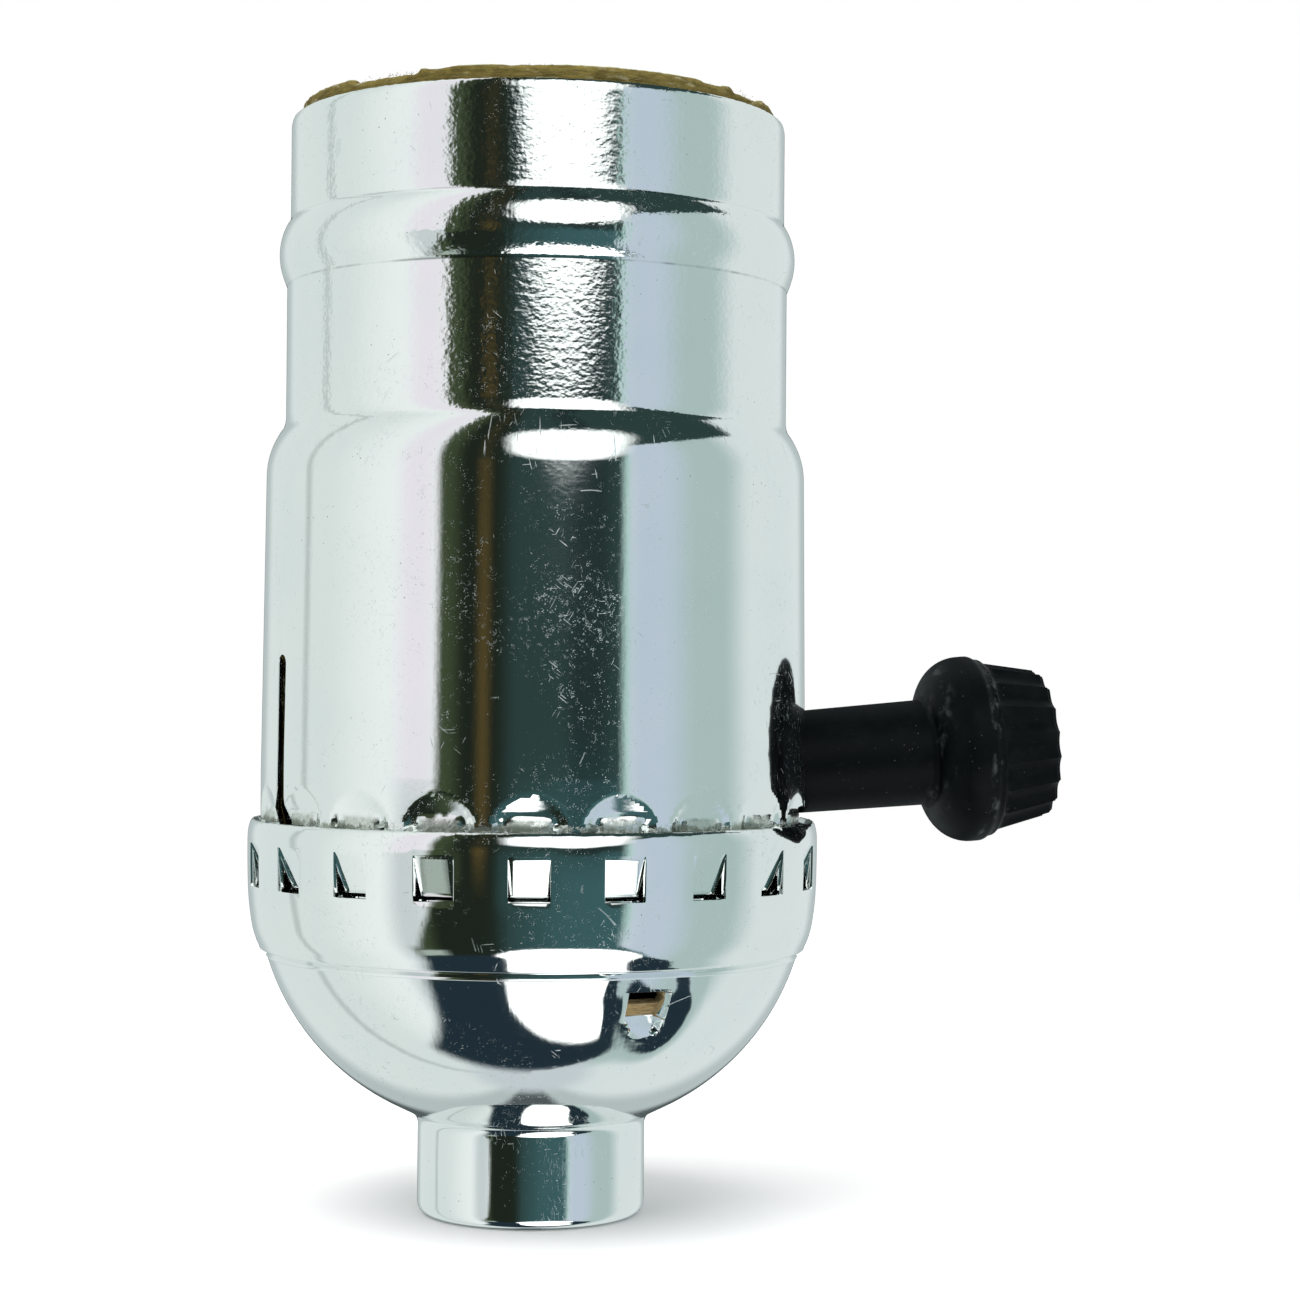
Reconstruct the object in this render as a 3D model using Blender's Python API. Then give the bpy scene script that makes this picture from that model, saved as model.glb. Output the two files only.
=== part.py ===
"""Turn-knob lamp socket: drawn metal shell and cap, fibre liners, screw shell, rotary switch.

Metres, +Z up towards the bulb. The origin is on the socket's axis, at the end of the hub
that screws on a lamp pipe. +X points towards the knob.
"""
import math

import bmesh
import bpy
from mathutils import Matrix, Vector

# Fits
FIT = 0.0003                      # running gap between pieces that meet
TOUCH = 0.00015                   # close gap between drawn or split pieces

# Bulb thread, which the whole socket is built round
THREAD_RADIUS = 0.01325           # inside the screw shell, at the root of its thread
THREAD_DEPTH = 0.0008
THREAD_PITCH = 0.003629           # seven turns to the inch
SCREW_SHELL_WALL = 0.00035
SCREW_SHELL_HEIGHT = 0.0253
SCREW_SHELL_FLOOR_HOLE = 0.0060
THREAD_RUN_OUT = 0.0018
BLOCK_MARGIN = 0.0005             # insulating block beyond the screw shell

# Insulating liner and outer shell
LINER_WALL = 0.0008
LINER_PROUD = 0.00075             # liner edge that shows above the metal rim
SHELL_WALL = 0.0004
NECK_FLARE = 0.0002               # neck over lip
BEAD_RISE = 0.0005
SHOULDER_STEP = 0.0012            # body over neck, at the shoulder
BODY_TAPER = 0.0002               # body at the cap over body at the shoulder
BODY_HEIGHT = 0.0225              # from the cap's rim to the shoulder
SHOULDER_HEIGHT = 0.0024
NECK_HEIGHT = 0.0091
BEAD_HEIGHT = 0.0043
LIP_HEIGHT = 0.00635
SHELL_OVERLAP = 0.0050            # shell inside the cap
SHELL_LEAD_IN = 0.0003            # draw-in of the shell's lower edge

# Locking bosses on the shell, one over each window of the cap
BOSS_RISE = 0.0002
BOSS_SLOPE = 0.0003
BOSS_ABOVE_RIM = 0.0009
BOSS_BELOW_RIM = 0.0008
LOBE_RISE = 0.0001                # swelling that runs out above each boss
LOBE_HEIGHT = 0.0016
CATCH_DEPTH = 0.0008              # solid strip under the shell's catch windows

# Squeeze slit on the side of the shell that faces away from the knob
SLIT_AZIMUTH = math.radians(-160.4)
SLIT_WIDTH = 0.0012
SLIT_HEIGHT = 0.0104              # above the cap's rim
SLIT_FLARE = 0.0005

# Cap
CAP_WALL = 0.0004
CAP_FIT = 0.00035                 # shell to cap, all round
HUB_HEIGHT = 0.0062
HUB_ROUND = 0.0010
HUB_LIP = 0.0010                  # flat ring turned in at the end of the hub
FILLET_REACH = 0.0014             # hub fillet, outwards under the dome
FILLET_RISE = 0.0008
DOME_HEIGHT = 0.0105              # from the hub to the ridge
DOME_LEAN = math.radians(16.5)    # lean of the dome's wall just under the ridge
SKIRT_HEIGHT = 0.0083
SKIRT_TAPER = 0.0009
GROOVE_DEPTH = 0.0005
GROOVE_HALF = 0.0003

# Windows and lanced tabs of the cap
WINDOW_COUNT = 20
WINDOW_AZIMUTH = math.radians(10.3)
WINDOW_WIDTH = 0.0025
WINDOW_HEIGHT = 0.0027
WINDOW_DROP = 0.0014              # rim to the top of a window
TAB_DEPTH = 0.00075
TAB_TAPER = 0.00025               # each side, at the free end
TAB_SHORT = 0.0003

# Pressed-in tang that grips the cap's fibre liner
TANG_AZIMUTH = math.radians(-71.1)
TANG_WIDTH = 0.0026
TANG_DROP = 0.0042                # ridge to the foot of the tang
TANG_HEIGHT = 0.0019
TANG_OPENING = 0.0034
CAP_LINER_WALL = 0.0005

# Threaded bushing in the hub, made for a lamp pipe
PIPE_RADIUS = 0.00475
BUSHING_WALL = 0.00185
BUSHING_RISE = 0.0010             # above the hub's straight part

# Knob
KNOB_TILT = math.radians(4.6)
KNOB_CLEAR = 0.0004               # stem over the cap's rim
NOTCH_GAP = 0.0004                # round the stem in the shell
STEM_ROOT_RADIUS = 0.0033
STEM_END_RADIUS = 0.00347
STEM_LENGTH = 0.0080              # outside the shell
BELL_LENGTH = 0.0035
COLLAR_RADIUS = 0.00612
COLLAR_WIDTH = 0.0009
GRIP_RADIUS = 0.0057
GRIP_END_RADIUS = 0.00466
GRIP_LENGTH = 0.0041
FLUTE_COUNT = 18
FLUTE_DEPTH = 0.00032
KNOB_END_ROUND = 0.0004
SHAFT_RADIUS = 0.0016
SHAFT_SQUARE = 0.0012             # half the width of the squared end
SHAFT_REACH = 0.0028              # into the knob's grip

# Rotary switch, centred on the socket's axis
DRUM_RADIUS = 0.0034
DRUM_LENGTH = 0.0041
CAM_HALF = 0.0027
CAM_LENGTH = 0.0035
BRIDGE_WALL = 0.0004
BRIDGE_HALF_WIDTH = 0.0012
LEAF_WALL = 0.0004
LEAF_HALF_WIDTH = 0.0018
LEAF_DROP = 0.0022                # leaf end under the knob's axis
DETENT_WALL = 0.0003
DETENT_HALF_WIDTH = 0.0014
WASHER_WALL = 0.0006
WASHER_RADIUS = 0.0032
CAVITY_WALL_GAP = 0.0006          # leaf to the side of the switch cavity
CAVITY_HALF_HEIGHT = 0.0050

# Insulating bodies
LEDGE = 0.0002                    # flange over the cap's pressed ridge
FLANGE_HEIGHT = 0.0026
BLOCK_HEIGHT = 0.0120             # upper block, above the parting plane
RECESS_DEPTH = 0.0036
RECESS_HALF_WIDTH = 0.0046

# Terminals
PLATE_WALL = 0.0006
PLATE_HALF_WIDTH = 0.0032
PLATE_FOOT = 0.0004               # plate's lower end over the flange
LINE_PLATE_RISE = 0.0018          # over the parting plane
NEUTRAL_LEG = 0.0030
TERMINAL_RISE = 0.0043            # screw over the flange
SCREW_RADIUS = 0.0015
SCREW_LENGTH = 0.0040
SCREW_HEAD_RADIUS = 0.0033
SCREW_HEAD_HEIGHT = 0.0019
SCREW_SLOT_WIDTH = 0.0008
SCREW_SLOT_DEPTH = 0.0007

# Centre contact and rivets
CENTRE_HALF_WIDTH = 0.0030
CENTRE_LENGTH = 0.0070
CENTRE_LIFT = 0.0027
CENTRE_RIVET_RADIUS = 0.0009
CENTRE_RIVET_DEPTH = 0.0060
RIVET_RADIUS = 0.0011
RIVET_HEAD_RADIUS = 0.0018
RIVET_HEAD_HEIGHT = 0.0008
RIVET_INSET = 0.0038              # rivet centre inside the block's edge
RIVET_AZIMUTH = math.radians(128)

# Facets
THREAD_STEPS = 22
THREAD_ROWS = 4                   # rows to one turn of the thread
TURNED_STEPS = 40
SMALL_STEPS = 16
FASTENER_STEPS = 12

# Radii, from the bulb thread outwards
screw_shell_outer = THREAD_RADIUS + SCREW_SHELL_WALL
block_radius = screw_shell_outer + BLOCK_MARGIN
liner_inner = block_radius + FIT
liner_outer = liner_inner + LINER_WALL
lip_radius = liner_outer + FIT + SHELL_WALL
neck_radius = lip_radius + NECK_FLARE
bead_radius = neck_radius + BEAD_RISE
shoulder_radius = neck_radius + SHOULDER_STEP
body_radius = shoulder_radius + BODY_TAPER
cap_radius = body_radius + CAP_FIT + CAP_WALL
skirt_radius = cap_radius - SKIRT_TAPER
groove_radius = skirt_radius - GROOVE_DEPTH
dome_radius = skirt_radius - GROOVE_HALF
flange_radius = groove_radius - CAP_WALL + LEDGE
bushing_radius = PIPE_RADIUS + BUSHING_WALL
hub_radius = bushing_radius + FIT + CAP_WALL
dome_foot_radius = hub_radius + FILLET_REACH

# Heights, from the end of the hub upwards
dome_foot_z = HUB_HEIGHT + FILLET_RISE
dome_top_z = HUB_HEIGHT + DOME_HEIGHT
ridge_z = dome_top_z + GROOVE_HALF
cap_rim_z = ridge_z + SKIRT_HEIGHT
window_top_z = cap_rim_z - WINDOW_DROP
window_bottom_z = window_top_z - WINDOW_HEIGHT
shell_bottom_z = cap_rim_z - SHELL_OVERLAP
shoulder_z = cap_rim_z + BODY_HEIGHT
neck_z = shoulder_z + SHOULDER_HEIGHT
bead_z = neck_z + NECK_HEIGHT
lip_z = bead_z + BEAD_HEIGHT
shell_top_z = lip_z + LIP_HEIGHT
liner_top_z = shell_top_z + LINER_PROUD
flange_bottom_z = ridge_z + CAP_WALL + FIT
flange_top_z = flange_bottom_z + FLANGE_HEIGHT
liner_bottom_z = flange_top_z + FIT

# Knob axis, which clears the cap's rim where it leaves the shell
tilt_rise = math.tan(KNOB_TILT)
axis_z = cap_rim_z + KNOB_CLEAR + STEM_ROOT_RADIUS - body_radius * tilt_rise
parting_z = axis_z + block_radius * tilt_rise
lower_top_z = parting_z - FIT / 2
upper_bottom_z = parting_z + FIT / 2
block_top_z = parting_z + BLOCK_HEIGHT

# Stations along the knob's axis, from the socket's axis outwards
stem_start = liner_inner + FIT
stem_end = body_radius + STEM_LENGTH
collar_start = stem_end + BELL_LENGTH
grip_start = collar_start + COLLAR_WIDTH
knob_end = grip_start + GRIP_LENGTH
shaft_end = grip_start + SHAFT_REACH - FIT
drum_start = -DRUM_LENGTH / 2
cam_start = drum_start + DRUM_LENGTH
cam_end = cam_start + CAM_LENGTH
bridge_start = drum_start - FIT - BRIDGE_WALL
bridge_end = cam_start - FIT
washer_start = cam_end + FIT
washer_end = washer_start + WASHER_WALL

# Switch cavity
bridge_outer = DRUM_RADIUS + FIT + BRIDGE_WALL
bridge_sweep = math.hypot(bridge_outer, BRIDGE_HALF_WIDTH)
leaf_inner = bridge_sweep + FIT
leaf_outer = leaf_inner + LEAF_WALL
cavity_half_width = leaf_outer + CAVITY_WALL_GAP
cavity_start = bridge_start - bridge_sweep * tilt_rise - FIT
cavity_end = washer_end + WASHER_RADIUS * tilt_rise + FIT
cavity_bottom_z = axis_z - CAVITY_HALF_HEIGHT
cavity_top_z = axis_z + CAVITY_HALF_HEIGHT

# Terminals, seated against the flat sides of the block
recess_y = block_radius - RECESS_DEPTH
plate_inner = recess_y + FIT
plate_outer = plate_inner + PLATE_WALL
terminal_z = flange_top_z + TERMINAL_RISE
screw_shell_floor_z = block_top_z + FIT
leg_bottom_z = block_top_z - PLATE_WALL
contact_z = screw_shell_floor_z + LEAF_WALL + FIT


def clear_scene():
    """Empties the scene, so that the model stands alone in it."""
    for obj in list(bpy.data.objects):
        bpy.data.objects.remove(obj, do_unlink=True)


def finish(name, colour, metallic, roughness):
    """A plain Principled BSDF material."""
    material = bpy.data.materials.new(name)
    material.use_nodes = True
    shader = material.node_tree.nodes["Principled BSDF"]
    shader.inputs["Base Color"].default_value = (*colour, 1.0)
    shader.inputs["Metallic"].default_value = metallic
    shader.inputs["Roughness"].default_value = roughness
    return material


def place(name, bm, material, parent=None, matrix=None):
    """Turns a bmesh into a named, smooth-shaded object."""
    bmesh.ops.remove_doubles(bm, verts=bm.verts, dist=1e-7)
    mesh = bpy.data.meshes.new(name)
    bm.to_mesh(mesh)
    bm.free()
    mesh.shade_smooth()
    mesh.set_sharp_from_angle(angle=math.radians(30))
    if material is not None:
        mesh.materials.append(material)
    obj = bpy.data.objects.new(name, mesh)
    bpy.context.scene.collection.objects.link(obj)
    obj.parent = parent
    if matrix is not None:
        obj.matrix_local = matrix
    return obj


def ring(radius, z, angles):
    """Points round the Z axis; the radius may follow the angle."""
    reach = radius if callable(radius) else lambda angle: radius
    return [Vector((reach(a) * math.cos(a), reach(a) * math.sin(a), z)) for a in angles]


def even_angles(steps):
    return [math.tau * i / steps for i in range(steps)]


def add_loop(bm, points):
    return [bm.verts.new(p) for p in points]


def bridge(bm, lower, upper):
    """Faces between two closed loops; the lower one may have a whole number of times more points."""
    share = len(lower) // len(upper)
    for i in range(len(upper)):
        start = i * share
        edge = [lower[(start + k) % len(lower)] for k in range(share + 1)]
        bm.faces.new([*edge, upper[(i + 1) % len(upper)], upper[i]])


def loft(sections):
    """A closed solid through loops of points, with flat ends."""
    bm = bmesh.new()
    loops = [add_loop(bm, section) for section in sections]
    for lower, upper in zip(loops, loops[1:]):
        bridge(bm, lower, upper)
    bm.faces.new(list(reversed(loops[0])))
    bm.faces.new(loops[-1])
    bmesh.ops.recalc_face_normals(bm, faces=bm.faces)
    return bm


def turned(profile, steps):
    """A closed solid of revolution about Z, from a closed outline of (radius, height) points."""
    bm = bmesh.new()
    verts = [bm.verts.new((radius, 0.0, z)) for radius, z in profile]
    on_axis = [radius == 0.0 for radius, z in profile]
    edges = []
    for i, vert in enumerate(verts):
        after = (i + 1) % len(verts)
        if not (on_axis[i] and on_axis[after]):
            edges.append(bm.edges.new((vert, verts[after])))
    bmesh.ops.spin(bm, geom=verts + edges, cent=(0, 0, 0), axis=(0, 0, 1),
                   angle=math.tau, steps=steps, use_duplicate=False)
    bmesh.ops.remove_doubles(bm, verts=bm.verts, dist=1e-7)
    bmesh.ops.recalc_face_normals(bm, faces=bm.faces)
    return bm


def block(low, high):
    """A box between two corners."""
    bm = bmesh.new()
    bmesh.ops.create_cube(bm, size=1.0)
    middle = (Vector(low) + Vector(high)) / 2
    bmesh.ops.scale(bm, vec=Vector(high) - Vector(low), verts=bm.verts)
    bmesh.ops.translate(bm, vec=middle, verts=bm.verts)
    return bm


def strip(path, wall, half_width, centre_x=0.0):
    """A bent metal strip: a path of (y, z) points, thickened to its left and widened along X."""
    points = [Vector(p) for p in path]
    sections = []
    for i, point in enumerate(points):
        before = (point - points[i - 1]).normalized() if i > 0 else None
        after = (points[i + 1] - point).normalized() if i < len(points) - 1 else None
        along = [d for d in (before, after) if d is not None]
        normals = [Vector((-d.y, d.x)) for d in along]
        mitre = sum(normals, Vector((0, 0))).normalized()
        inner = point + mitre * wall / mitre.dot(normals[0])
        left, right = centre_x - half_width, centre_x + half_width
        sections.append([(left, *point), (right, *point), (right, *inner), (left, *inner)])
    return loft(sections)


def add_boolean(obj, tool, operation):
    modifier = obj.modifiers.new(tool.name, "BOOLEAN")
    modifier.operation = operation
    modifier.solver = "EXACT"
    modifier.object = tool


def cutter(name, bm, parent=None, matrix=None):
    """A guide body that only cuts or joins, and isn't part of the model."""
    obj = place(name, bm, None, parent, matrix)
    obj.hide_render = True
    obj.display_type = "WIRE"
    return obj


def cut(obj, *tools):
    for tool in tools:
        add_boolean(obj, tool, "DIFFERENCE")


def thicken(obj, wall, offset=-1.0):
    """Gives a drawn sheet its wall; -1 keeps its outer face."""
    modifier = obj.modifiers.new("wall", "SOLIDIFY")
    modifier.thickness = wall
    modifier.offset = offset
    modifier.use_even_offset = True


def window_angles():
    return [WINDOW_AZIMUTH + math.tau * i / WINDOW_COUNT for i in range(WINDOW_COUNT)]


def sheet_angles(*offsets):
    """Columns of the drawn sheets, at the same offsets from the middle of each window."""
    return [centre + offset for centre in window_angles() for offset in offsets]


def nearest_turn(angle):
    """The same direction, between -pi and pi."""
    return math.remainder(angle, math.tau)


# The dome is one arc from the ridge to the hub's fillet
dome_chord = math.hypot(dome_radius - dome_foot_radius, dome_top_z - dome_foot_z)
dome_sweep = 2 * (math.atan2(dome_radius - dome_foot_radius, dome_top_z - dome_foot_z) - DOME_LEAN)
dome_arc = dome_chord / 2 / math.sin(dome_sweep / 2)
dome_centre_radius = dome_radius - dome_arc * math.cos(DOME_LEAN)
dome_centre_z = dome_top_z + dome_arc * math.sin(DOME_LEAN)


def dome_point(lean, arc):
    """A point of the dome, or of an arc inside it, where the wall leans by so much."""
    return dome_centre_radius + arc * math.cos(lean), dome_centre_z - arc * math.sin(lean)


def dome_radius_at(z):
    return dome_centre_radius + math.sqrt(dome_arc ** 2 - (dome_centre_z - z) ** 2)


window_half_angle = WINDOW_WIDTH / 2 / cap_radius
catch_half_angle = window_half_angle + BOSS_SLOPE / body_radius

# The tang rises from its foot on the dome to just behind the wall, with the fibre liner inside it
tang_foot_z = ridge_z - TANG_DROP
tang_foot_radius = dome_radius_at(tang_foot_z) - TOUCH
tang_top_z = tang_foot_z + TANG_HEIGHT
tang_tip_radius = dome_radius_at(tang_top_z) - CAP_WALL - FIT
fibre_arc = math.hypot(tang_tip_radius - CAP_WALL - dome_centre_radius,
                       dome_centre_z - tang_top_z) - TOUCH

# The shell's notch round the stem, and the windows that it swallows
notch_radius = STEM_ROOT_RADIUS + NOTCH_GAP
notch_half_angle = math.asin(notch_radius / body_radius)
swallowed = [nearest_turn(a) for a in window_angles()
             if abs(nearest_turn(a)) < notch_half_angle + catch_half_angle]
notch_flare_angle = max([abs(a) for a in swallowed], default=0.0) + catch_half_angle
notch_flare = body_radius * math.sin(max(notch_flare_angle, notch_half_angle)) + FIT


def has_catch(centre):
    """True where the shell has a boss and a catch window."""
    return abs(nearest_turn(centre)) >= notch_half_angle + catch_half_angle


def outer_shell(material, knob_frame):
    """Drawn shell: body, shoulder, neck, bead and lip, with its row of locking bosses."""
    fine = sheet_angles(-catch_half_angle, -window_half_angle, window_half_angle, catch_half_angle)
    coarse = sheet_angles(-window_half_angle, window_half_angle)
    catch_top = window_top_z + FIT
    catch_bottom = shell_bottom_z + CATCH_DEPTH
    boss_bottom = cap_rim_z - BOSS_BELOW_RIM
    boss_top = cap_rim_z + BOSS_ABOVE_RIM
    rows = [
        (body_radius - SHELL_LEAD_IN, shell_bottom_z, 0.0),
        (body_radius, catch_bottom, 0.0),
        (body_radius, catch_top, 0.0),
        (body_radius, boss_bottom, BOSS_RISE),
        (body_radius, boss_top - BOSS_SLOPE, BOSS_RISE),
        (body_radius, boss_top, LOBE_RISE),
        (body_radius, boss_top + LOBE_HEIGHT, 0.0),
    ]
    bm = bmesh.new()
    loops = []
    for radius, z, rise in rows:
        points = []
        for i, angle in enumerate(fine):
            on_boss = i % 4 in (1, 2) and has_catch(window_angles()[i // 4])
            points += ring(radius + (rise if on_boss else 0.0), z, [angle])
        loops.append(add_loop(bm, points))
    for lower, upper in zip(loops, loops[1:]):
        bridge(bm, lower, upper)

    # Catch windows, which the cap's tabs snap into
    doomed = []
    for i, centre in enumerate(window_angles()):
        if has_catch(centre):
            for k in range(3):
                column = loops[1][4 * i + k]
                beside = loops[1][4 * i + k + 1]
                above = loops[2][4 * i + k]
                doomed += [f for f in column.link_faces
                           if beside in f.verts and above in f.verts]
    bmesh.ops.delete(bm, geom=doomed, context="FACES")

    # The fine columns run together above the bosses
    upper_rows = [(shoulder_radius, shoulder_z)]
    for share, draw in ((0.30, 0.22), (0.55, 0.52), (0.78, 0.83)):
        upper_rows.append((shoulder_radius - SHOULDER_STEP * draw,
                           shoulder_z + SHOULDER_HEIGHT * share))
    upper_rows.append((neck_radius, neck_z))
    upper_rows.append((neck_radius, bead_z))
    for share in (0.15, 0.5, 0.85):
        rise = BEAD_RISE * math.sin(math.pi * share) ** 0.5
        upper_rows.append((neck_radius + rise, bead_z + BEAD_HEIGHT * share))
    upper_rows.append((lip_radius, lip_z))
    upper_rows.append((lip_radius, shell_top_z))
    first = add_loop(bm, ring(*upper_rows[0], coarse))
    gathered = loops[-1][1:] + loops[-1][:1]
    merge_columns(bm, gathered, first)
    previous = first
    for radius, z in upper_rows[1:]:
        current = add_loop(bm, ring(radius, z, coarse))
        bridge(bm, previous, current)
        previous = current

    shell = place("outer_shell", bm, material)
    thicken(shell, SHELL_WALL)
    cut(shell, stem_notch("shell_notch", notch_radius, body_radius, knob_frame),
        notch_mouth(), squeeze_slit())
    return shell


def merge_columns(bm, fine, coarse):
    """Joins a loop of four points a window to one of two: edges of windows first."""
    count = len(fine)
    for i in range(0, count, 4):
        left, right = fine[i], fine[i + 1]
        below = coarse[i // 2]
        beside = coarse[i // 2 + 1]
        following = coarse[(i // 2 + 2) % len(coarse)]
        bm.faces.new((left, right, beside, below))
        corner = [fine[i + 1], fine[i + 2], fine[(i + 3) % count], fine[(i + 4) % count]]
        bm.faces.new((*corner, following, beside))


def stem_notch(name, radius, reach, knob_frame):
    """Cutter for an upside-down U that lets the shell or the liner slide over the stem."""
    depth = reach
    outline = [(-radius, -depth), (radius, -depth)]
    outline += [(radius * math.cos(a), radius * math.sin(a))
                for a in (math.pi * i / 12 for i in range(13))]
    near, far = reach * 0.75, reach * 1.15
    sections = [[(-v, u, station) for u, v in outline] for station in (near, far)]
    return cutter(name, loft(sections), knob_frame)


def notch_mouth():
    """Cutter for the wider mouth of the shell's notch, hidden inside the cap."""
    low = (body_radius / 2, -notch_flare, shell_bottom_z - CAP_WALL)
    high = (body_radius + CAP_WALL, notch_flare, cap_rim_z - FIT)
    return cutter("shell_notch_mouth", block(low, high))


def squeeze_slit():
    """Cutter for the slit that lets the shell's lower edge give."""
    half = SLIT_WIDTH / 2
    wide = half + SLIT_FLARE
    top = cap_rim_z + SLIT_HEIGHT - half
    outline = [(-wide, shell_bottom_z - CAP_WALL), (wide, shell_bottom_z - CAP_WALL),
               (wide, cap_rim_z), (half, cap_rim_z + 3 * SLIT_FLARE)]
    outline += [(half * math.cos(a), top + half * math.sin(a))
                for a in (math.pi * i / 6 for i in range(7))]
    outline.append((-half, cap_rim_z + 3 * SLIT_FLARE))
    outline.append((-wide, cap_rim_z))
    sections = [[(x, y, z) for y, z in outline]
                for x in (body_radius * 0.8, body_radius * 1.2)]
    return cutter("shell_slit", loft(sections), matrix=Matrix.Rotation(SLIT_AZIMUTH, 4, "Z"))


def socket_cap(material):
    """Drawn cap with its hub: skirt, lanced tabs, pressed ridge, dome, hub and turned-in end."""
    angles = sheet_angles(-window_half_angle, window_half_angle)
    skirt = [(cap_radius, cap_rim_z), (cap_radius, window_top_z)]
    below_windows = window_bottom_z - ridge_z
    for share, draw in ((1.0, 0.10), (0.72, 0.30), (0.33, 0.68)):
        skirt.append((cap_radius - SKIRT_TAPER * draw, ridge_z + below_windows * share))
    skirt += [(skirt_radius, ridge_z + GROOVE_HALF), (groove_radius, ridge_z)]
    dome = [dome_point(DOME_LEAN + dome_sweep * i / 6, dome_arc) for i in range(7)]
    hub = [(hub_radius + FILLET_REACH * 0.3, HUB_HEIGHT + FILLET_RISE * 0.2),
           (hub_radius, HUB_HEIGHT - FILLET_RISE * 0.3)]
    for i in range(4):
        turn = math.pi / 2 * i / 3
        hub.append((hub_radius - HUB_ROUND * (1 - math.cos(turn)),
                    HUB_ROUND * (1 - math.sin(turn))))
    hub.append((hub_radius - HUB_ROUND - HUB_LIP, 0.0))

    bm = bmesh.new()
    loops = [add_loop(bm, ring(radius, z, angles)) for radius, z in skirt + dome]
    every_second = sheet_angles(-window_half_angle)
    loops += [add_loop(bm, ring(radius, z, every_second)) for radius, z in hub]
    for upper, lower in zip(loops, loops[1:]):
        bridge(bm, upper, lower)

    # Windows, each with a tab that hangs from its top edge and leans inwards
    top, bottom = loops[1], loops[2]
    doomed = []
    for i in range(WINDOW_COUNT):
        left, right = 2 * i, 2 * i + 1
        doomed += [f for f in top[left].link_faces if top[right] in f.verts and bottom[left] in f.verts]
    bmesh.ops.delete(bm, geom=doomed, context="FACES_ONLY")
    tab_radius = cap_radius - TAB_DEPTH
    tab_half_angle = (WINDOW_WIDTH / 2 - TAB_TAPER) / tab_radius
    for i, centre in enumerate(window_angles()):
        ends = add_loop(bm, ring(tab_radius, window_bottom_z + TAB_SHORT,
                                 [centre - tab_half_angle, centre + tab_half_angle]))
        bm.faces.new((top[2 * i], top[2 * i + 1], ends[1], ends[0]))
    bmesh.ops.recalc_face_normals(bm, faces=bm.faces)
    if sum((f.normal.dot(f.calc_center_median()) for f in bm.faces)) < 0:
        bmesh.ops.reverse_faces(bm, faces=bm.faces)

    cap = place("socket_cap", bm, material)
    thicken(cap, CAP_WALL)
    turn = Matrix.Rotation(TANG_AZIMUTH, 4, "Z")
    half = TANG_WIDTH / 2
    opening = block((tang_foot_radius - 2 * CAP_WALL, -half, tang_foot_z + FIT),
                    (cap_radius, half, tang_foot_z + TANG_OPENING))
    cut(cap, cutter("tang_opening", opening, matrix=turn))
    tang = loft([[(radius - CAP_WALL, -half, z), (radius, -half, z), (radius, half, z),
                  (radius - CAP_WALL, half, z)]
                 for radius, z in ((tang_foot_radius, tang_foot_z - TOUCH), (tang_tip_radius, tang_top_z))])
    add_boolean(cap, cutter("tang", tang, matrix=turn), "UNION")
    return cap


def cap_liner(material):
    """Pressed fibre dish that lines the dome."""
    bm = bmesh.new()
    loops = []
    top_lean = math.asin((dome_centre_z - dome_top_z + GROOVE_HALF + FIT) / fibre_arc)
    foot_lean = DOME_LEAN + dome_sweep
    for i in range(6):
        radius, z = dome_point(top_lean + (foot_lean - top_lean) * i / 5, fibre_arc)
        loops.append(add_loop(bm, ring(radius, z, even_angles(THREAD_STEPS))))
    for upper, lower in zip(loops, loops[1:]):
        bridge(bm, upper, lower)
    bmesh.ops.reverse_faces(bm, faces=bm.faces)
    dish = place("cap_liner", bm, material)
    thicken(dish, CAP_LINER_WALL)
    return dish


def hub_bushing(material):
    """Threaded bushing for the lamp pipe, held by the hub's turned-in end."""
    outer = bushing_radius
    low = CAP_WALL + FIT
    high = HUB_HEIGHT + BUSHING_RISE
    chamfer = BUSHING_WALL / 4
    profile = [(PIPE_RADIUS + chamfer, low), (outer - chamfer, low), (outer, low + chamfer),
               (outer, high - chamfer), (outer - chamfer, high), (PIPE_RADIUS + chamfer, high),
               (PIPE_RADIUS, high - chamfer), (PIPE_RADIUS, low + chamfer)]
    return place("hub_bushing", turned(profile, TURNED_STEPS // 2), material)


def insulating_liner(material, knob_frame):
    """Fibre tube between the screw shell and the outer shell, notched for the knob's stem."""
    profile = [(liner_inner, liner_bottom_z), (liner_outer, liner_bottom_z),
               (liner_outer, liner_top_z), (liner_inner, liner_top_z)]
    liner = place("insulating_liner", turned(profile, TURNED_STEPS), material)
    cut(liner, stem_notch("liner_notch", notch_radius + FIT, liner_outer, knob_frame))
    return liner


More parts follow.
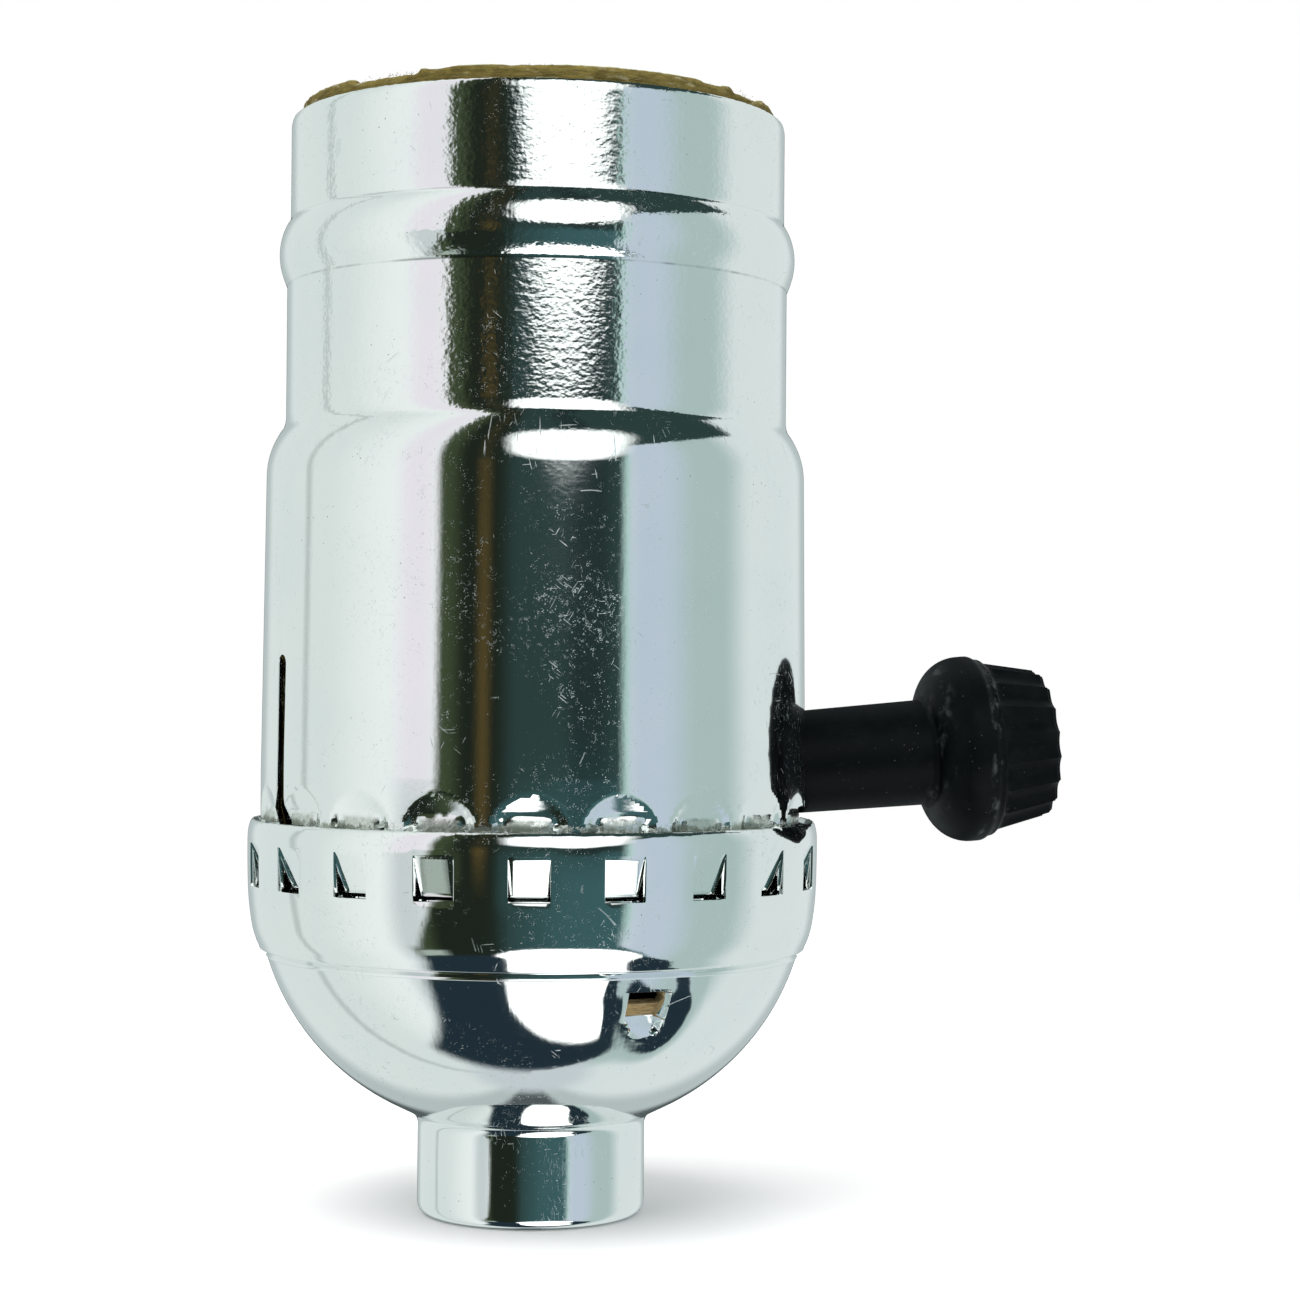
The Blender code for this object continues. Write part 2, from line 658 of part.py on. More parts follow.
def screw_shell(material):
    """Rolled sheet shell: floor with its hole, then a wall with the bulb thread rolled in."""
    low = screw_shell_floor_z + SCREW_SHELL_WALL / 2
    corner = THREAD_DEPTH
    minor = THREAD_RADIUS - THREAD_DEPTH + SCREW_SHELL_WALL / 2
    angles = even_angles(THREAD_STEPS)
    bm = bmesh.new()
    floor = [(SCREW_SHELL_FLOOR_HOLE, low), (minor - corner, low), (minor, low + corner)]
    loops = [add_loop(bm, ring(radius, z, angles)) for radius, z in floor]
    for inner, outer in zip(loops, loops[1:]):
        bridge(bm, inner, outer)

    start = floor[-1][1]
    end = screw_shell_floor_z + SCREW_SHELL_HEIGHT
    row_step = THREAD_PITCH / THREAD_ROWS
    row_count = math.ceil((end - start + THREAD_PITCH) / row_step)
    rows = []
    for j in range(row_count + 1):
        wave = (1 - math.cos(math.tau * j / THREAD_ROWS)) / 2
        row = []
        for i, angle in enumerate(angles):
            z = start + j * row_step + THREAD_PITCH * (i / THREAD_STEPS - 1)
            z = min(max(z, start), end)
            rolled_in = min(1.0, (z - start) / THREAD_RUN_OUT)
            rolled_out = min(1.0, (end - z) / THREAD_RUN_OUT)
            depth = wave * rolled_in * rolled_out + (1 - rolled_out)
            row += ring(minor + THREAD_DEPTH * depth, z, [angle])
        rows.append(add_loop(bm, row))
    for j in range(row_count):
        for i in range(THREAD_STEPS):
            if i + 1 < THREAD_STEPS:
                beside, above = rows[j][i + 1], rows[j + 1][i + 1]
            else:
                beside = rows[min(j + THREAD_ROWS, row_count)][0]
                above = rows[min(j + 1 + THREAD_ROWS, row_count)][0]
            corners = [rows[j][i], beside, above, rows[j + 1][i]]
            if len(set(corners)) == 4:
                bm.faces.new(corners)
            elif len(set(corners)) == 3:
                bm.faces.new(list(dict.fromkeys(corners)))
    bmesh.ops.remove_doubles(bm, verts=bm.verts, dist=1e-6)
    bmesh.ops.recalc_face_normals(bm, faces=bm.faces)
    shell = place("screw_shell", bm, material)
    thicken(shell, SCREW_SHELL_WALL, offset=0.0)
    cut(shell, *rivet_holes("screw_shell"))
    return shell


def rivet_places():
    """The two long rivets, opposite each other near the edge of the block."""
    reach = block_radius - RIVET_INSET
    x, y = reach * math.cos(RIVET_AZIMUTH), reach * math.sin(RIVET_AZIMUTH)
    return {"a": (x, y), "b": (-x, -y)}


def rivet_holes(owner):
    """Cutters for the two long rivets."""
    low, high = flange_bottom_z - FLANGE_HEIGHT, contact_z + FLANGE_HEIGHT
    radius = RIVET_RADIUS + FIT
    profile = [(0.0, low), (radius, low), (radius, high), (0.0, high)]
    return [cutter(f"{owner}_rivet_hole_{side}", turned(profile, FASTENER_STEPS),
                   matrix=Matrix.Translation((x, y, 0.0)))
            for side, (x, y) in rivet_places().items()]


def body_rivets(material):
    """Long rivets that clamp screw shell, upper block and switch body together."""
    low = flange_bottom_z - FIT
    high = screw_shell_floor_z + SCREW_SHELL_WALL + FIT
    profile = [(0.0, low - RIVET_HEAD_HEIGHT), (RIVET_HEAD_RADIUS * 0.7, low - RIVET_HEAD_HEIGHT),
               (RIVET_HEAD_RADIUS, low - RIVET_HEAD_HEIGHT / 2), (RIVET_HEAD_RADIUS, low),
               (RIVET_RADIUS, low), (RIVET_RADIUS, high), (RIVET_HEAD_RADIUS, high),
               (RIVET_HEAD_RADIUS, high + RIVET_HEAD_HEIGHT / 2),
               (RIVET_HEAD_RADIUS * 0.7, high + RIVET_HEAD_HEIGHT), (0.0, high + RIVET_HEAD_HEIGHT)]
    for side, (x, y) in rivet_places().items():
        place(f"body_rivet_{side}", turned(profile, FASTENER_STEPS), material,
              matrix=Matrix.Translation((x, y, 0.0)))


def terminal_recesses(owner):
    """Cutters for the flat sides that carry the terminals and let the wires up."""
    low, high = flange_bottom_z - FLANGE_HEIGHT, block_top_z + FLANGE_HEIGHT
    reach = flange_radius + FLANGE_HEIGHT
    tools = []
    for side, sign in (("neutral", 1), ("line", -1)):
        near, far = sorted((sign * recess_y, sign * reach))
        tools.append(cutter(f"{owner}_{side}_recess",
                            block((-RECESS_HALF_WIDTH, near, low), (RECESS_HALF_WIDTH, far, high))))
    return tools


def switch_cavity(owner):
    return cutter(f"{owner}_cavity", block((cavity_start, -cavity_half_width, cavity_bottom_z),
                                           (cavity_end, cavity_half_width, cavity_top_z)))


def terminal_holes():
    """Cutters for the screw holes in the sides of the switch body."""
    radius = SCREW_RADIUS + FIT
    bottom = plate_outer - SCREW_LENGTH
    profile = [(0.0, bottom), (radius, bottom), (radius, block_radius), (0.0, block_radius)]
    return [cutter(f"terminal_hole_{side}", turned(profile, FASTENER_STEPS), matrix=terminal_frame(sign))
            for side, sign in (("neutral", 1), ("line", -1))]


def terminal_frame(sign):
    """Places a screw so that its length runs out along +Y or -Y."""
    return (Matrix.Translation((0.0, 0.0, terminal_z))
            @ Matrix.Rotation(-sign * math.pi / 2, 4, "X"))


def switch_body(material, knob_frame):
    """Lower insulating body: flange, switch cavity, shaft channel and terminal seats."""
    profile = [(0.0, flange_bottom_z), (flange_radius, flange_bottom_z),
               (flange_radius, flange_top_z), (block_radius, flange_top_z),
               (block_radius, lower_top_z), (0.0, lower_top_z)]
    body = place("switch_body", turned(profile, TURNED_STEPS), material)
    bore = SHAFT_RADIUS + FIT
    outline = [(bore, block_radius), (-bore, block_radius)]
    outline += [(-bore * math.cos(a), -bore * math.sin(a)) for a in (math.pi * i / 8 for i in range(9))]
    channel = loft([[(-v, u, s) for u, v in outline] for s in (cam_end, block_radius + FIT)])
    foot = block((-LEAF_HALF_WIDTH - FIT, -block_radius, lower_top_z - 2 * LEAF_WALL - FIT),
                 (LEAF_HALF_WIDTH + FIT, -leaf_inner, parting_z + FIT))
    cut(body, switch_cavity("lower"), cutter("shaft_channel", channel, knob_frame),
        *terminal_recesses("lower"), *terminal_holes(), cutter("line_foot_channel", foot),
        *rivet_holes("lower"))
    return body


def contact_block(material, knob_frame):
    """Upper insulating block, which carries the screw shell and the centre contact."""
    profile = [(0.0, upper_bottom_z), (block_radius, upper_bottom_z),
               (block_radius, block_top_z), (0.0, block_top_z)]
    upper = place("contact_block", turned(profile, TURNED_STEPS), material)
    bore = SHAFT_RADIUS + FIT
    arch = loft([ring(bore, s, even_angles(SMALL_STEPS)) for s in (cam_end, block_radius + FIT)])
    load_slot = block((-LEAF_HALF_WIDTH - FIT, leaf_inner - FIT, cavity_top_z - FIT),
                      (LEAF_HALF_WIDTH + FIT, leaf_outer + FIT, block_top_z + FIT))
    leg_pocket = block((-PLATE_HALF_WIDTH - FIT, plate_outer - NEUTRAL_LEG - FIT, leg_bottom_z - FIT),
                       (PLATE_HALF_WIDTH + FIT, block_radius, block_top_z + FIT))
    radius = CENTRE_RIVET_RADIUS + FIT
    low = block_top_z - CENTRE_RIVET_DEPTH - FIT
    centre_hole = turned([(0.0, low), (radius, low), (radius, block_top_z + FIT),
                          (0.0, block_top_z + FIT)], FASTENER_STEPS)
    cut(upper, switch_cavity("upper"), cutter("shaft_arch", arch, knob_frame),
        *terminal_recesses("upper"), cutter("load_slot", load_slot), cutter("leg_pocket", leg_pocket),
        cutter("centre_hole", centre_hole), *rivet_holes("upper"))
    return upper


def terminals(brass, steel):
    """Terminal plates with their screws: neutral on +Y, line on -Y."""
    foot_z = flange_top_z + PLATE_FOOT
    neutral = strip([(plate_inner, foot_z), (plate_inner, leg_bottom_z),
                     (plate_outer - NEUTRAL_LEG, leg_bottom_z)], -PLATE_WALL, PLATE_HALF_WIDTH)
    line = strip([(-plate_inner, foot_z), (-plate_inner, parting_z + LINE_PLATE_RISE)],
                 PLATE_WALL, PLATE_HALF_WIDTH)
    tip = plate_outer + FIT - SCREW_LENGTH
    seat = plate_outer + FIT
    crown = seat + SCREW_HEAD_HEIGHT
    round_off = SCREW_HEAD_HEIGHT / 4
    screw_profile = [(0.0, tip), (SCREW_RADIUS * 0.7, tip), (SCREW_RADIUS, tip + round_off),
                     (SCREW_RADIUS, seat), (SCREW_HEAD_RADIUS, seat),
                     (SCREW_HEAD_RADIUS, crown - round_off),
                     (SCREW_HEAD_RADIUS - round_off, crown), (0.0, crown)]
    radius = SCREW_RADIUS + FIT
    hole_profile = [(0.0, tip), (radius, tip), (radius, crown), (0.0, crown)]
    for name, sign, bm, metal in (("neutral", 1, neutral, steel), ("line", -1, line, brass)):
        frame = terminal_frame(sign)
        plate = place(f"{name}_terminal", bm, brass)
        cut(plate, cutter(f"{name}_plate_hole", turned(hole_profile, FASTENER_STEPS), matrix=frame))
        screw = place(f"{name}_screw", turned(screw_profile, FASTENER_STEPS), metal, matrix=frame)
        slot = block((-SCREW_HEAD_RADIUS * 2, -SCREW_SLOT_WIDTH / 2, crown - SCREW_SLOT_DEPTH),
                     (SCREW_HEAD_RADIUS * 2, SCREW_SLOT_WIDTH / 2, crown + SCREW_SLOT_DEPTH))
        cut(screw, cutter(f"{name}_screw_slot", slot, matrix=frame))


def contacts(brass):
    """Line leaf, load leaf and centre contact."""
    foot_z = lower_top_z - FIT - LEAF_WALL
    leaf_end_z = axis_z - LEAF_DROP
    line = strip([(-recess_y, foot_z), (-leaf_inner, foot_z), (-leaf_inner, leaf_end_z)],
                 -LEAF_WALL, LEAF_HALF_WIDTH)
    place("line_contact", line, brass)
    load = strip([(leaf_inner, leaf_end_z), (leaf_inner, screw_shell_floor_z),
                  (-leaf_inner / 2, screw_shell_floor_z)], -LEAF_WALL, LEAF_HALF_WIDTH)
    place("load_contact", load, brass)

    near = CENTRE_LENGTH * 0.4
    far = CENTRE_LENGTH * 0.6
    bend = CENTRE_LIFT / 4
    tongue = strip([(near, contact_z), (-far, contact_z), (-far - bend, contact_z + bend),
                    (-far - bend, contact_z + CENTRE_LIFT - 2 * bend),
                    (-far, contact_z + CENTRE_LIFT - bend), (near, contact_z + CENTRE_LIFT)],
                   -LEAF_WALL, CENTRE_HALF_WIDTH)
    hole_low = screw_shell_floor_z - FIT
    hole_high = contact_z + 2 * LEAF_WALL
    radius = CENTRE_RIVET_RADIUS + FIT
    hole = [(0.0, hole_low), (radius, hole_low), (radius, hole_high), (0.0, hole_high)]
    centre = place("centre_contact", tongue, brass)
    cut(centre, cutter("centre_contact_hole", turned(hole, FASTENER_STEPS)))
    cut(bpy.data.objects["load_contact"], cutter("load_contact_hole", turned(hole, FASTENER_STEPS)))

    head_z = contact_z + LEAF_WALL + FIT
    head = RIVET_HEAD_HEIGHT * 0.6
    profile = [(0.0, block_top_z - CENTRE_RIVET_DEPTH),
               (CENTRE_RIVET_RADIUS, block_top_z - CENTRE_RIVET_DEPTH),
               (CENTRE_RIVET_RADIUS, head_z), (CENTRE_RIVET_RADIUS * 1.8, head_z),
               (CENTRE_RIVET_RADIUS * 1.4, head_z + head), (0.0, head_z + head)]
    place("centre_rivet", turned(profile, FASTENER_STEPS), brass)


def detent_spring(material):
    """Arched leaf under the cam, which gives the knob its clicks."""
    crown = axis_z + (cam_start * tilt_rise) - cam_reach() - FIT
    foot = cavity_bottom_z + FIT + DETENT_WALL
    half = leaf_inner
    leaf = strip([(-half, foot), (-half / 2, crown), (half / 2, crown), (half, foot)],
                 -DETENT_WALL, DETENT_HALF_WIDTH, centre_x=(cam_start + cam_end) / 2)
    return place("detent_spring", leaf, material)


def squircle(half, power):
    """Radius of a square with rounded corners, by angle."""
    return lambda a: half / (abs(math.cos(a)) ** power + abs(math.sin(a)) ** power) ** (1 / power)


def cam_reach():
    return squircle(CAM_HALF, 4)(math.pi / 4)


def switch_rotor(material, knob_frame):
    """Moulded rotor: a round drum that carries the bridge, and a four-sided cam."""
    angles = even_angles(SMALL_STEPS)
    cam = squircle(CAM_HALF, 4)
    sections = [ring(DRUM_RADIUS, drum_start, angles), ring(DRUM_RADIUS, cam_start, angles),
                ring(cam, cam_start + TOUCH, angles), ring(cam, cam_end, angles)]
    rotor = place("switch_rotor", loft(sections), material, knob_frame)
    half = SHAFT_SQUARE + FIT
    bore = block((-half, -half, drum_start - FIT), (half, half, cam_end + FIT))
    cut(rotor, cutter("rotor_bore", bore, knob_frame))
    return rotor


def rotor_contact(material, knob_frame):
    """Bridge strip folded over the drum's inner end."""
    inner = DRUM_RADIUS + FIT
    path = [(-inner, bridge_end), (-inner, bridge_start + BRIDGE_WALL),
            (inner, bridge_start + BRIDGE_WALL), (inner, bridge_end)]
    return place("rotor_contact", strip(path, -BRIDGE_WALL, BRIDGE_HALF_WIDTH), material, knob_frame)


def knob_shaft(material, knob_frame):
    """Steel shaft, squared where it drives the rotor."""
    angles = even_angles(SMALL_STEPS)
    square = squircle(SHAFT_SQUARE, 8)
    sections = [ring(square, drum_start + FIT, angles), ring(square, cam_end, angles),
                ring(SHAFT_RADIUS, cam_end + TOUCH, angles), ring(SHAFT_RADIUS, shaft_end, angles)]
    return place("knob_shaft", loft(sections), material, knob_frame)


def thrust_washer(material, knob_frame):
    """Washer between the rotor and the wall of the cavity."""
    bore = SHAFT_RADIUS + FIT
    profile = [(bore, washer_start), (WASHER_RADIUS, washer_start),
               (WASHER_RADIUS, washer_end), (bore, washer_end)]
    return place("thrust_washer", turned(profile, SMALL_STEPS), material, knob_frame)


def knob(material, knob_frame):
    """Moulded knob: tapered stem, bell, collar and fluted grip."""
    steps_per_flute = 4
    angles = even_angles(FLUTE_COUNT * steps_per_flute)
    plain = even_angles(FLUTE_COUNT * steps_per_flute // 2)

    def fluted(radius):
        return lambda a: radius - FLUTE_DEPTH * math.sin(FLUTE_COUNT * a / 2) ** 2

    back = [ring(STEM_ROOT_RADIUS, stem_start, plain), ring(STEM_END_RADIUS, stem_end, plain)]
    for i in range(1, 6):
        turn = math.pi / 2 * i / 5
        radius = STEM_END_RADIUS + (COLLAR_RADIUS - STEM_END_RADIUS) * math.sin(turn)
        back.append(ring(radius, collar_start - BELL_LENGTH * math.cos(turn), plain))
    back.append(ring(COLLAR_RADIUS, grip_start - COLLAR_WIDTH / 3, plain))
    grip = [ring(GRIP_RADIUS, grip_start, angles),
            ring(fluted(GRIP_RADIUS), grip_start + TOUCH, angles),
            ring(fluted(GRIP_END_RADIUS), knob_end - KNOB_END_ROUND / 2, angles),
            ring(GRIP_END_RADIUS - KNOB_END_ROUND - FLUTE_DEPTH, knob_end, angles)]
    bm = bmesh.new()
    loops = [add_loop(bm, section) for section in grip + back[::-1]]
    for lower, upper in zip(loops[:4], loops[1:4]):
        bridge(bm, lower, upper)
    bridge(bm, loops[0], loops[4])
    for lower, upper in zip(loops[4:], loops[5:]):
        bridge(bm, lower, upper)
    bm.faces.new(loops[3])
    bm.faces.new(loops[-1])
    bmesh.ops.recalc_face_normals(bm, faces=bm.faces)
    turn_knob = place("knob", bm, material, knob_frame)
    bore = SHAFT_RADIUS + FIT
    hole = loft([ring(bore, s, even_angles(SMALL_STEPS)) for s in (stem_start - FIT, shaft_end + FIT)])
    cut(turn_knob, cutter("knob_bore", hole, knob_frame))
    return turn_knob


def knob_axis():
    """Empty on the knob's joint axis; its Z runs out along the shaft."""
    frame = bpy.data.objects.new("knob_axis", None)
    bpy.context.scene.collection.objects.link(frame)
    frame.matrix_world = (Matrix.Translation((0.0, 0.0, axis_z))
                          @ Matrix.Rotation(math.pi / 2 - KNOB_TILT, 4, "Y"))
    return frame


def build():
    clear_scene()
    nickel = finish("polished_nickel", (0.80, 0.83, 0.82), 1.0, 0.08)
    brass = finish("brass", (0.78, 0.58, 0.28), 1.0, 0.28)
    steel = finish("zinc_steel", (0.62, 0.62, 0.60), 1.0, 0.30)
    fibre = finish("brown_fibre", (0.34, 0.23, 0.12), 0.0, 0.85)
    board = finish("paper_liner", (0.45, 0.33, 0.19), 0.0, 0.90)
    phenolic = finish("black_phenolic", (0.018, 0.017, 0.016), 0.0, 0.35)
    moulded = finish("black_knob_plastic", (0.012, 0.013, 0.013), 0.0, 0.42)
    knob_frame = knob_axis()
    outer_shell(nickel, knob_frame)
    socket_cap(nickel)
    hub_bushing(steel)
    cap_liner(fibre)
    insulating_liner(board, knob_frame)
    screw_shell(brass)
    switch_body(phenolic, knob_frame)
    contact_block(phenolic, knob_frame)
    terminals(brass, steel)
    contacts(brass)
    body_rivets(brass)
    detent_spring(steel)
    switch_rotor(phenolic, knob_frame)
    rotor_contact(brass, knob_frame)
    knob_shaft(steel, knob_frame)
    thrust_washer(steel, knob_frame)
    knob(moulded, knob_frame)


build()
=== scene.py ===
from functools import partialmethod
from math import (asin, atan2, ceil, copysign, cos, degrees, exp, hypot, pi, radians, remainder,
                  sin, sqrt, tan, tau)

import bmesh
import bpy
from mathutils import Matrix, Vector, noise


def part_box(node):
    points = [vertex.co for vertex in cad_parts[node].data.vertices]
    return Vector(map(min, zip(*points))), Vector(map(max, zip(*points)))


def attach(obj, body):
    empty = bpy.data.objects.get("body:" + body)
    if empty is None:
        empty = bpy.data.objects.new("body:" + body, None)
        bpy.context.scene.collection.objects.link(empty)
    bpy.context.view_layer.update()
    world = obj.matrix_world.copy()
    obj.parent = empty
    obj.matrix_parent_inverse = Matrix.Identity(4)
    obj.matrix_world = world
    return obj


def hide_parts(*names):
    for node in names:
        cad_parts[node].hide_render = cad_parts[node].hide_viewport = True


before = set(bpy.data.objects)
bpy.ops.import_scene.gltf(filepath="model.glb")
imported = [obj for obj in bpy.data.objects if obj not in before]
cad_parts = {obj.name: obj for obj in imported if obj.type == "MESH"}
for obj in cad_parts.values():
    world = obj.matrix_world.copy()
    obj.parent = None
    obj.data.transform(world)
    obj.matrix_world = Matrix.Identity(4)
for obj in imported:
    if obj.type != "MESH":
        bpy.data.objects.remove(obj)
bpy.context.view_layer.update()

# Sizes in metres, the same as the model's; the heights go up from the end of the hub
SHELL_WALL = 0.0004
BODY_RADIUS = 0.0175
SHOULDER_RADIUS = 0.0173
SHELL_BOTTOM = 0.0203
BODY_TOP = 0.0472
NECK = 0.0502
BEAD = 0.0593
LIP = 0.0636
SHELL_TOP = 0.06995

CAP_RADIUS = 0.01825
CAP_RIM = 0.0253
WINDOWS = 20
WINDOW_TOP = 0.0239
WINDOW_BOTTOM = 0.0212
WINDOW_HALF = 0.00125
WINDOW_HALF_ANGLE = WINDOW_HALF / CAP_RADIUS
WINDOW_AZIMUTH = radians(10.3)
PITCH_ANGLE = tau / WINDOWS
SKIRT = 0.0187                          # where the skirt starts to turn in
GROOVE_RADIUS = 0.01685
RIDGE = 0.0170
DOME_RADIUS = 0.01705
DOME_TOP = 0.0167
DOME_LEAN = radians(16.5)
HUB_TOP = 0.0070                        # where the dome turns into the hub
HUB_RADIUS = 0.0073
HUB_HOLE_RADIUS = 0.0053

DENT_BAND = (0.0240, 0.0284)            # heights between which the shell's half-moons lie
DENT_RADIUS = 0.00225
DENT_SLOPE = 0.25
DENT_REACH = 0.0018                     # from the dent's edge to its full depth
CATCH_HALF = 0.00130                    # catch punched out of each dent, at the cap's rim
CATCH_TALL = 0.00272
CATCH_BELOW = 0.002                     # how far it goes on below the rim

TANG_AZIMUTH = radians(-71.1)
TANG_HALF = radians(4.5)
TANG_ROUND = 0.01400                    # centre of the round end of the tang's U
TANG_REACH = 0.00127                    # radius of that end
TANG_LIP = 0.01425
TANG_HOLE_TOP = 0.01572

SLIT_AZIMUTH = radians(-160.4)
SLIT_TOP = 0.0357
SLIT_HALF = 0.0006
SLIT_MOUTH_HALF = 0.0011

AXIS_Z = 0.027592
KNOB_TILT = radians(4.6)
KNOB_FRAME = (Matrix.Translation((0.0, 0.0, AXIS_Z))
              @ Matrix.Rotation(pi / 2 - KNOB_TILT, 4, "Y"))
KNOB_RISE = BODY_RADIUS * tan(KNOB_TILT)    # of the knob's axis where it meets the shell
NOTCH_RADIUS = 0.0037

LINER_INNER = 0.0144
LINER_OUTER = 0.0152
LINER_BOTTOM = 0.0206
LINER_TOP = 0.0707

THREAD_RADIUS = 0.01325
THREAD_DEPTH = 0.0008
THREAD_PITCH = 0.003629
THREAD_WALL = 0.00035
SCREW_SHELL_FLOOR = 0.041026
SCREW_SHELL_TOP = 0.066326
SCREW_SHELL_HOLE = 0.0060

PIPE_RADIUS = 0.00475
PIPE_THREAD_DEPTH = 0.00042
PIPE_THREAD_PITCH = 0.00094
BUSHING_RADIUS = 0.0066
BUSHING_BOTTOM = 0.0007
BUSHING_TOP = 0.0072

CAMERA_HEADING = radians(7.0)           # the camera's own azimuth beyond -Y, towards -X


# Nodes

class Value:
    """What a node puts out; Python arithmetic on it adds Math nodes."""

    def __init__(self, graph, socket):
        self.graph, self.socket = graph, socket

    def math(self, operation, *others):
        inputs = dict(enumerate((self, *others)))
        return self.graph.node("ShaderNodeMath", {"operation": operation}, inputs)

    __add__ = __radd__ = partialmethod(math, "ADD")
    __sub__ = partialmethod(math, "SUBTRACT")
    __mul__ = __rmul__ = partialmethod(math, "MULTIPLY")
    __truediv__ = partialmethod(math, "DIVIDE")
    __pow__ = partialmethod(math, "POWER")
    __lt__ = partialmethod(math, "LESS_THAN")
    __abs__ = partialmethod(math, "ABSOLUTE")

    def __rsub__(self, other):
        return self.math("MULTIPLY_ADD", -1.0, other)

    def ramp(self, low, high, start=0.0, end=1.0):
        """Smooth step from start to end as the value goes from low to high."""
        inputs = {"Value": self, "From Min": low, "From Max": high, "To Min": start, "To Max": end}
        return self.graph.node("ShaderNodeMapRange", {"interpolation_type": "SMOOTHSTEP"}, inputs)

    def band(self, low, high, soft):
        """1 between low and high, with soft edges."""
        return self.ramp(low - soft, low + soft) * self.ramp(high - soft, high + soft, 1.0, 0.0)


class Graph:
    """A node tree under construction."""

    def __init__(self, tree):
        self.tree = tree

    def node(self, kind, settings=None, inputs=None, output=0):
        node = self.tree.nodes.new(kind)
        for name, setting in (settings or {}).items():
            setattr(node, name, setting)
        for name, given in (inputs or {}).items():
            self.feed(node.inputs[name], given)
        return Value(self, node.outputs[output])

    def feed(self, socket, given):
        if isinstance(given, Value):
            self.tree.links.new(given.socket, socket)
        else:
            socket.default_value = given

    def split(self, vector, count=3):
        """The first components of a vector."""
        return [self.node("ShaderNodeSeparateXYZ", inputs={0: vector}, output=i)
                for i in range(count)]

    def vector(self, x=0.0, y=0.0, z=0.0):
        return self.node("ShaderNodeCombineXYZ", inputs={0: x, 1: y, 2: z})

    def vectors(self, operation, *given):
        """Vector maths; distances, lengths and dot products come out as a number."""
        output = int(operation in ("DISTANCE", "LENGTH", "DOT_PRODUCT"))
        return self.node("ShaderNodeVectorMath", {"operation": operation},
                         dict(enumerate(given)), output)

    def blend(self, factor, first, second):
        """Mix of two colours."""
        first, second = ((*c, 1.0) if isinstance(c, tuple) else c for c in (first, second))
        inputs = {0: factor, 6: first, 7: second}
        return self.node("ShaderNodeMix", {"data_type": "RGBA"}, inputs, 2)

    def layers(self, colour, *above):
        """Colours laid over the first one, each given as (how much of it, colour)."""
        for share, next_colour in above:
            colour = self.blend(share, colour, next_colour)
        return colour


class Finish(Graph):
    """A material on one Principled shader, its pattern in millimetres of the object's space."""

    def __init__(self, name, **constants):
        self.material = bpy.data.materials.new(name)
        self.material.use_nodes = True
        super().__init__(self.material.node_tree)
        self.shader = self.tree.nodes["Principled BSDF"]
        self.paint(**constants)
        metres = self.node("ShaderNodeTexCoord", output=3)
        self.place = self.vectors("MULTIPLY", metres, (1000.0, 1000.0, 1000.0))
        self.x, self.y, self.z = self.split(self.place)

    def paint(self, **channels):
        for socket, given in channels.items():
            self.feed(self.shader.inputs[socket.replace("_", " ")], given)

    def finished(self, colour, rough, height, depth=0.001):
        """The material with this colour and roughness, and bumps of so many metres by a height."""
        bump = self.node("ShaderNodeBump",
                         inputs={"Height": height, "Distance": depth, "Strength": 1.0})
        self.paint(Base_Color=colour, Roughness=rough, Normal=bump)
        return self.material

    def turn(self):
        """Angle round the socket."""
        return self.y.math("ARCTAN2", self.x)

    def stretched(self, scale, at=None):
        """The place, scaled by axis."""
        return self.vectors("MULTIPLY", at or self.place, scale)

    def wrapped(self, across, along):
        """Round the socket and up it, for marks that follow the sheet."""
        return self.vector(self.turn() * across, self.z * along)

    def cloud(self, scale, detail=2.0, rough=0.5, at=None, seed=0.0):
        return self.node("ShaderNodeTexNoise", {"noise_dimensions": "4D"},
                         {"Vector": at or self.place, "W": seed, "Scale": scale,
                          "Detail": detail, "Roughness": rough})

    def cells(self, scale, output=0):
        return self.node("ShaderNodeTexVoronoi", {"feature": "F1"},
                         {"Vector": self.place, "Scale": scale}, output)

    def streaks(self, angle, seed):
        """Sparse straight scratches, leaning by an angle from upright."""
        leaning = self.node("ShaderNodeVectorRotate", {"rotation_type": "Z_AXIS"},
                            {"Vector": self.wrapped(17.0, 1.0), "Angle": angle})
        drawn_out = self.stretched((11.0, 0.75, 1.0), leaning)
        return self.cloud(1.0, 0.0, 0.5, at=drawn_out, seed=seed).ramp(0.735, 0.765)


# Finishes; their numbers are heights and places in millimetres, noise levels and shares

# Grey for real dirt in pits, and for painted shade in the bead's creases
DIRT_AND_SHADE = (0.16, 0.18, 0.17)


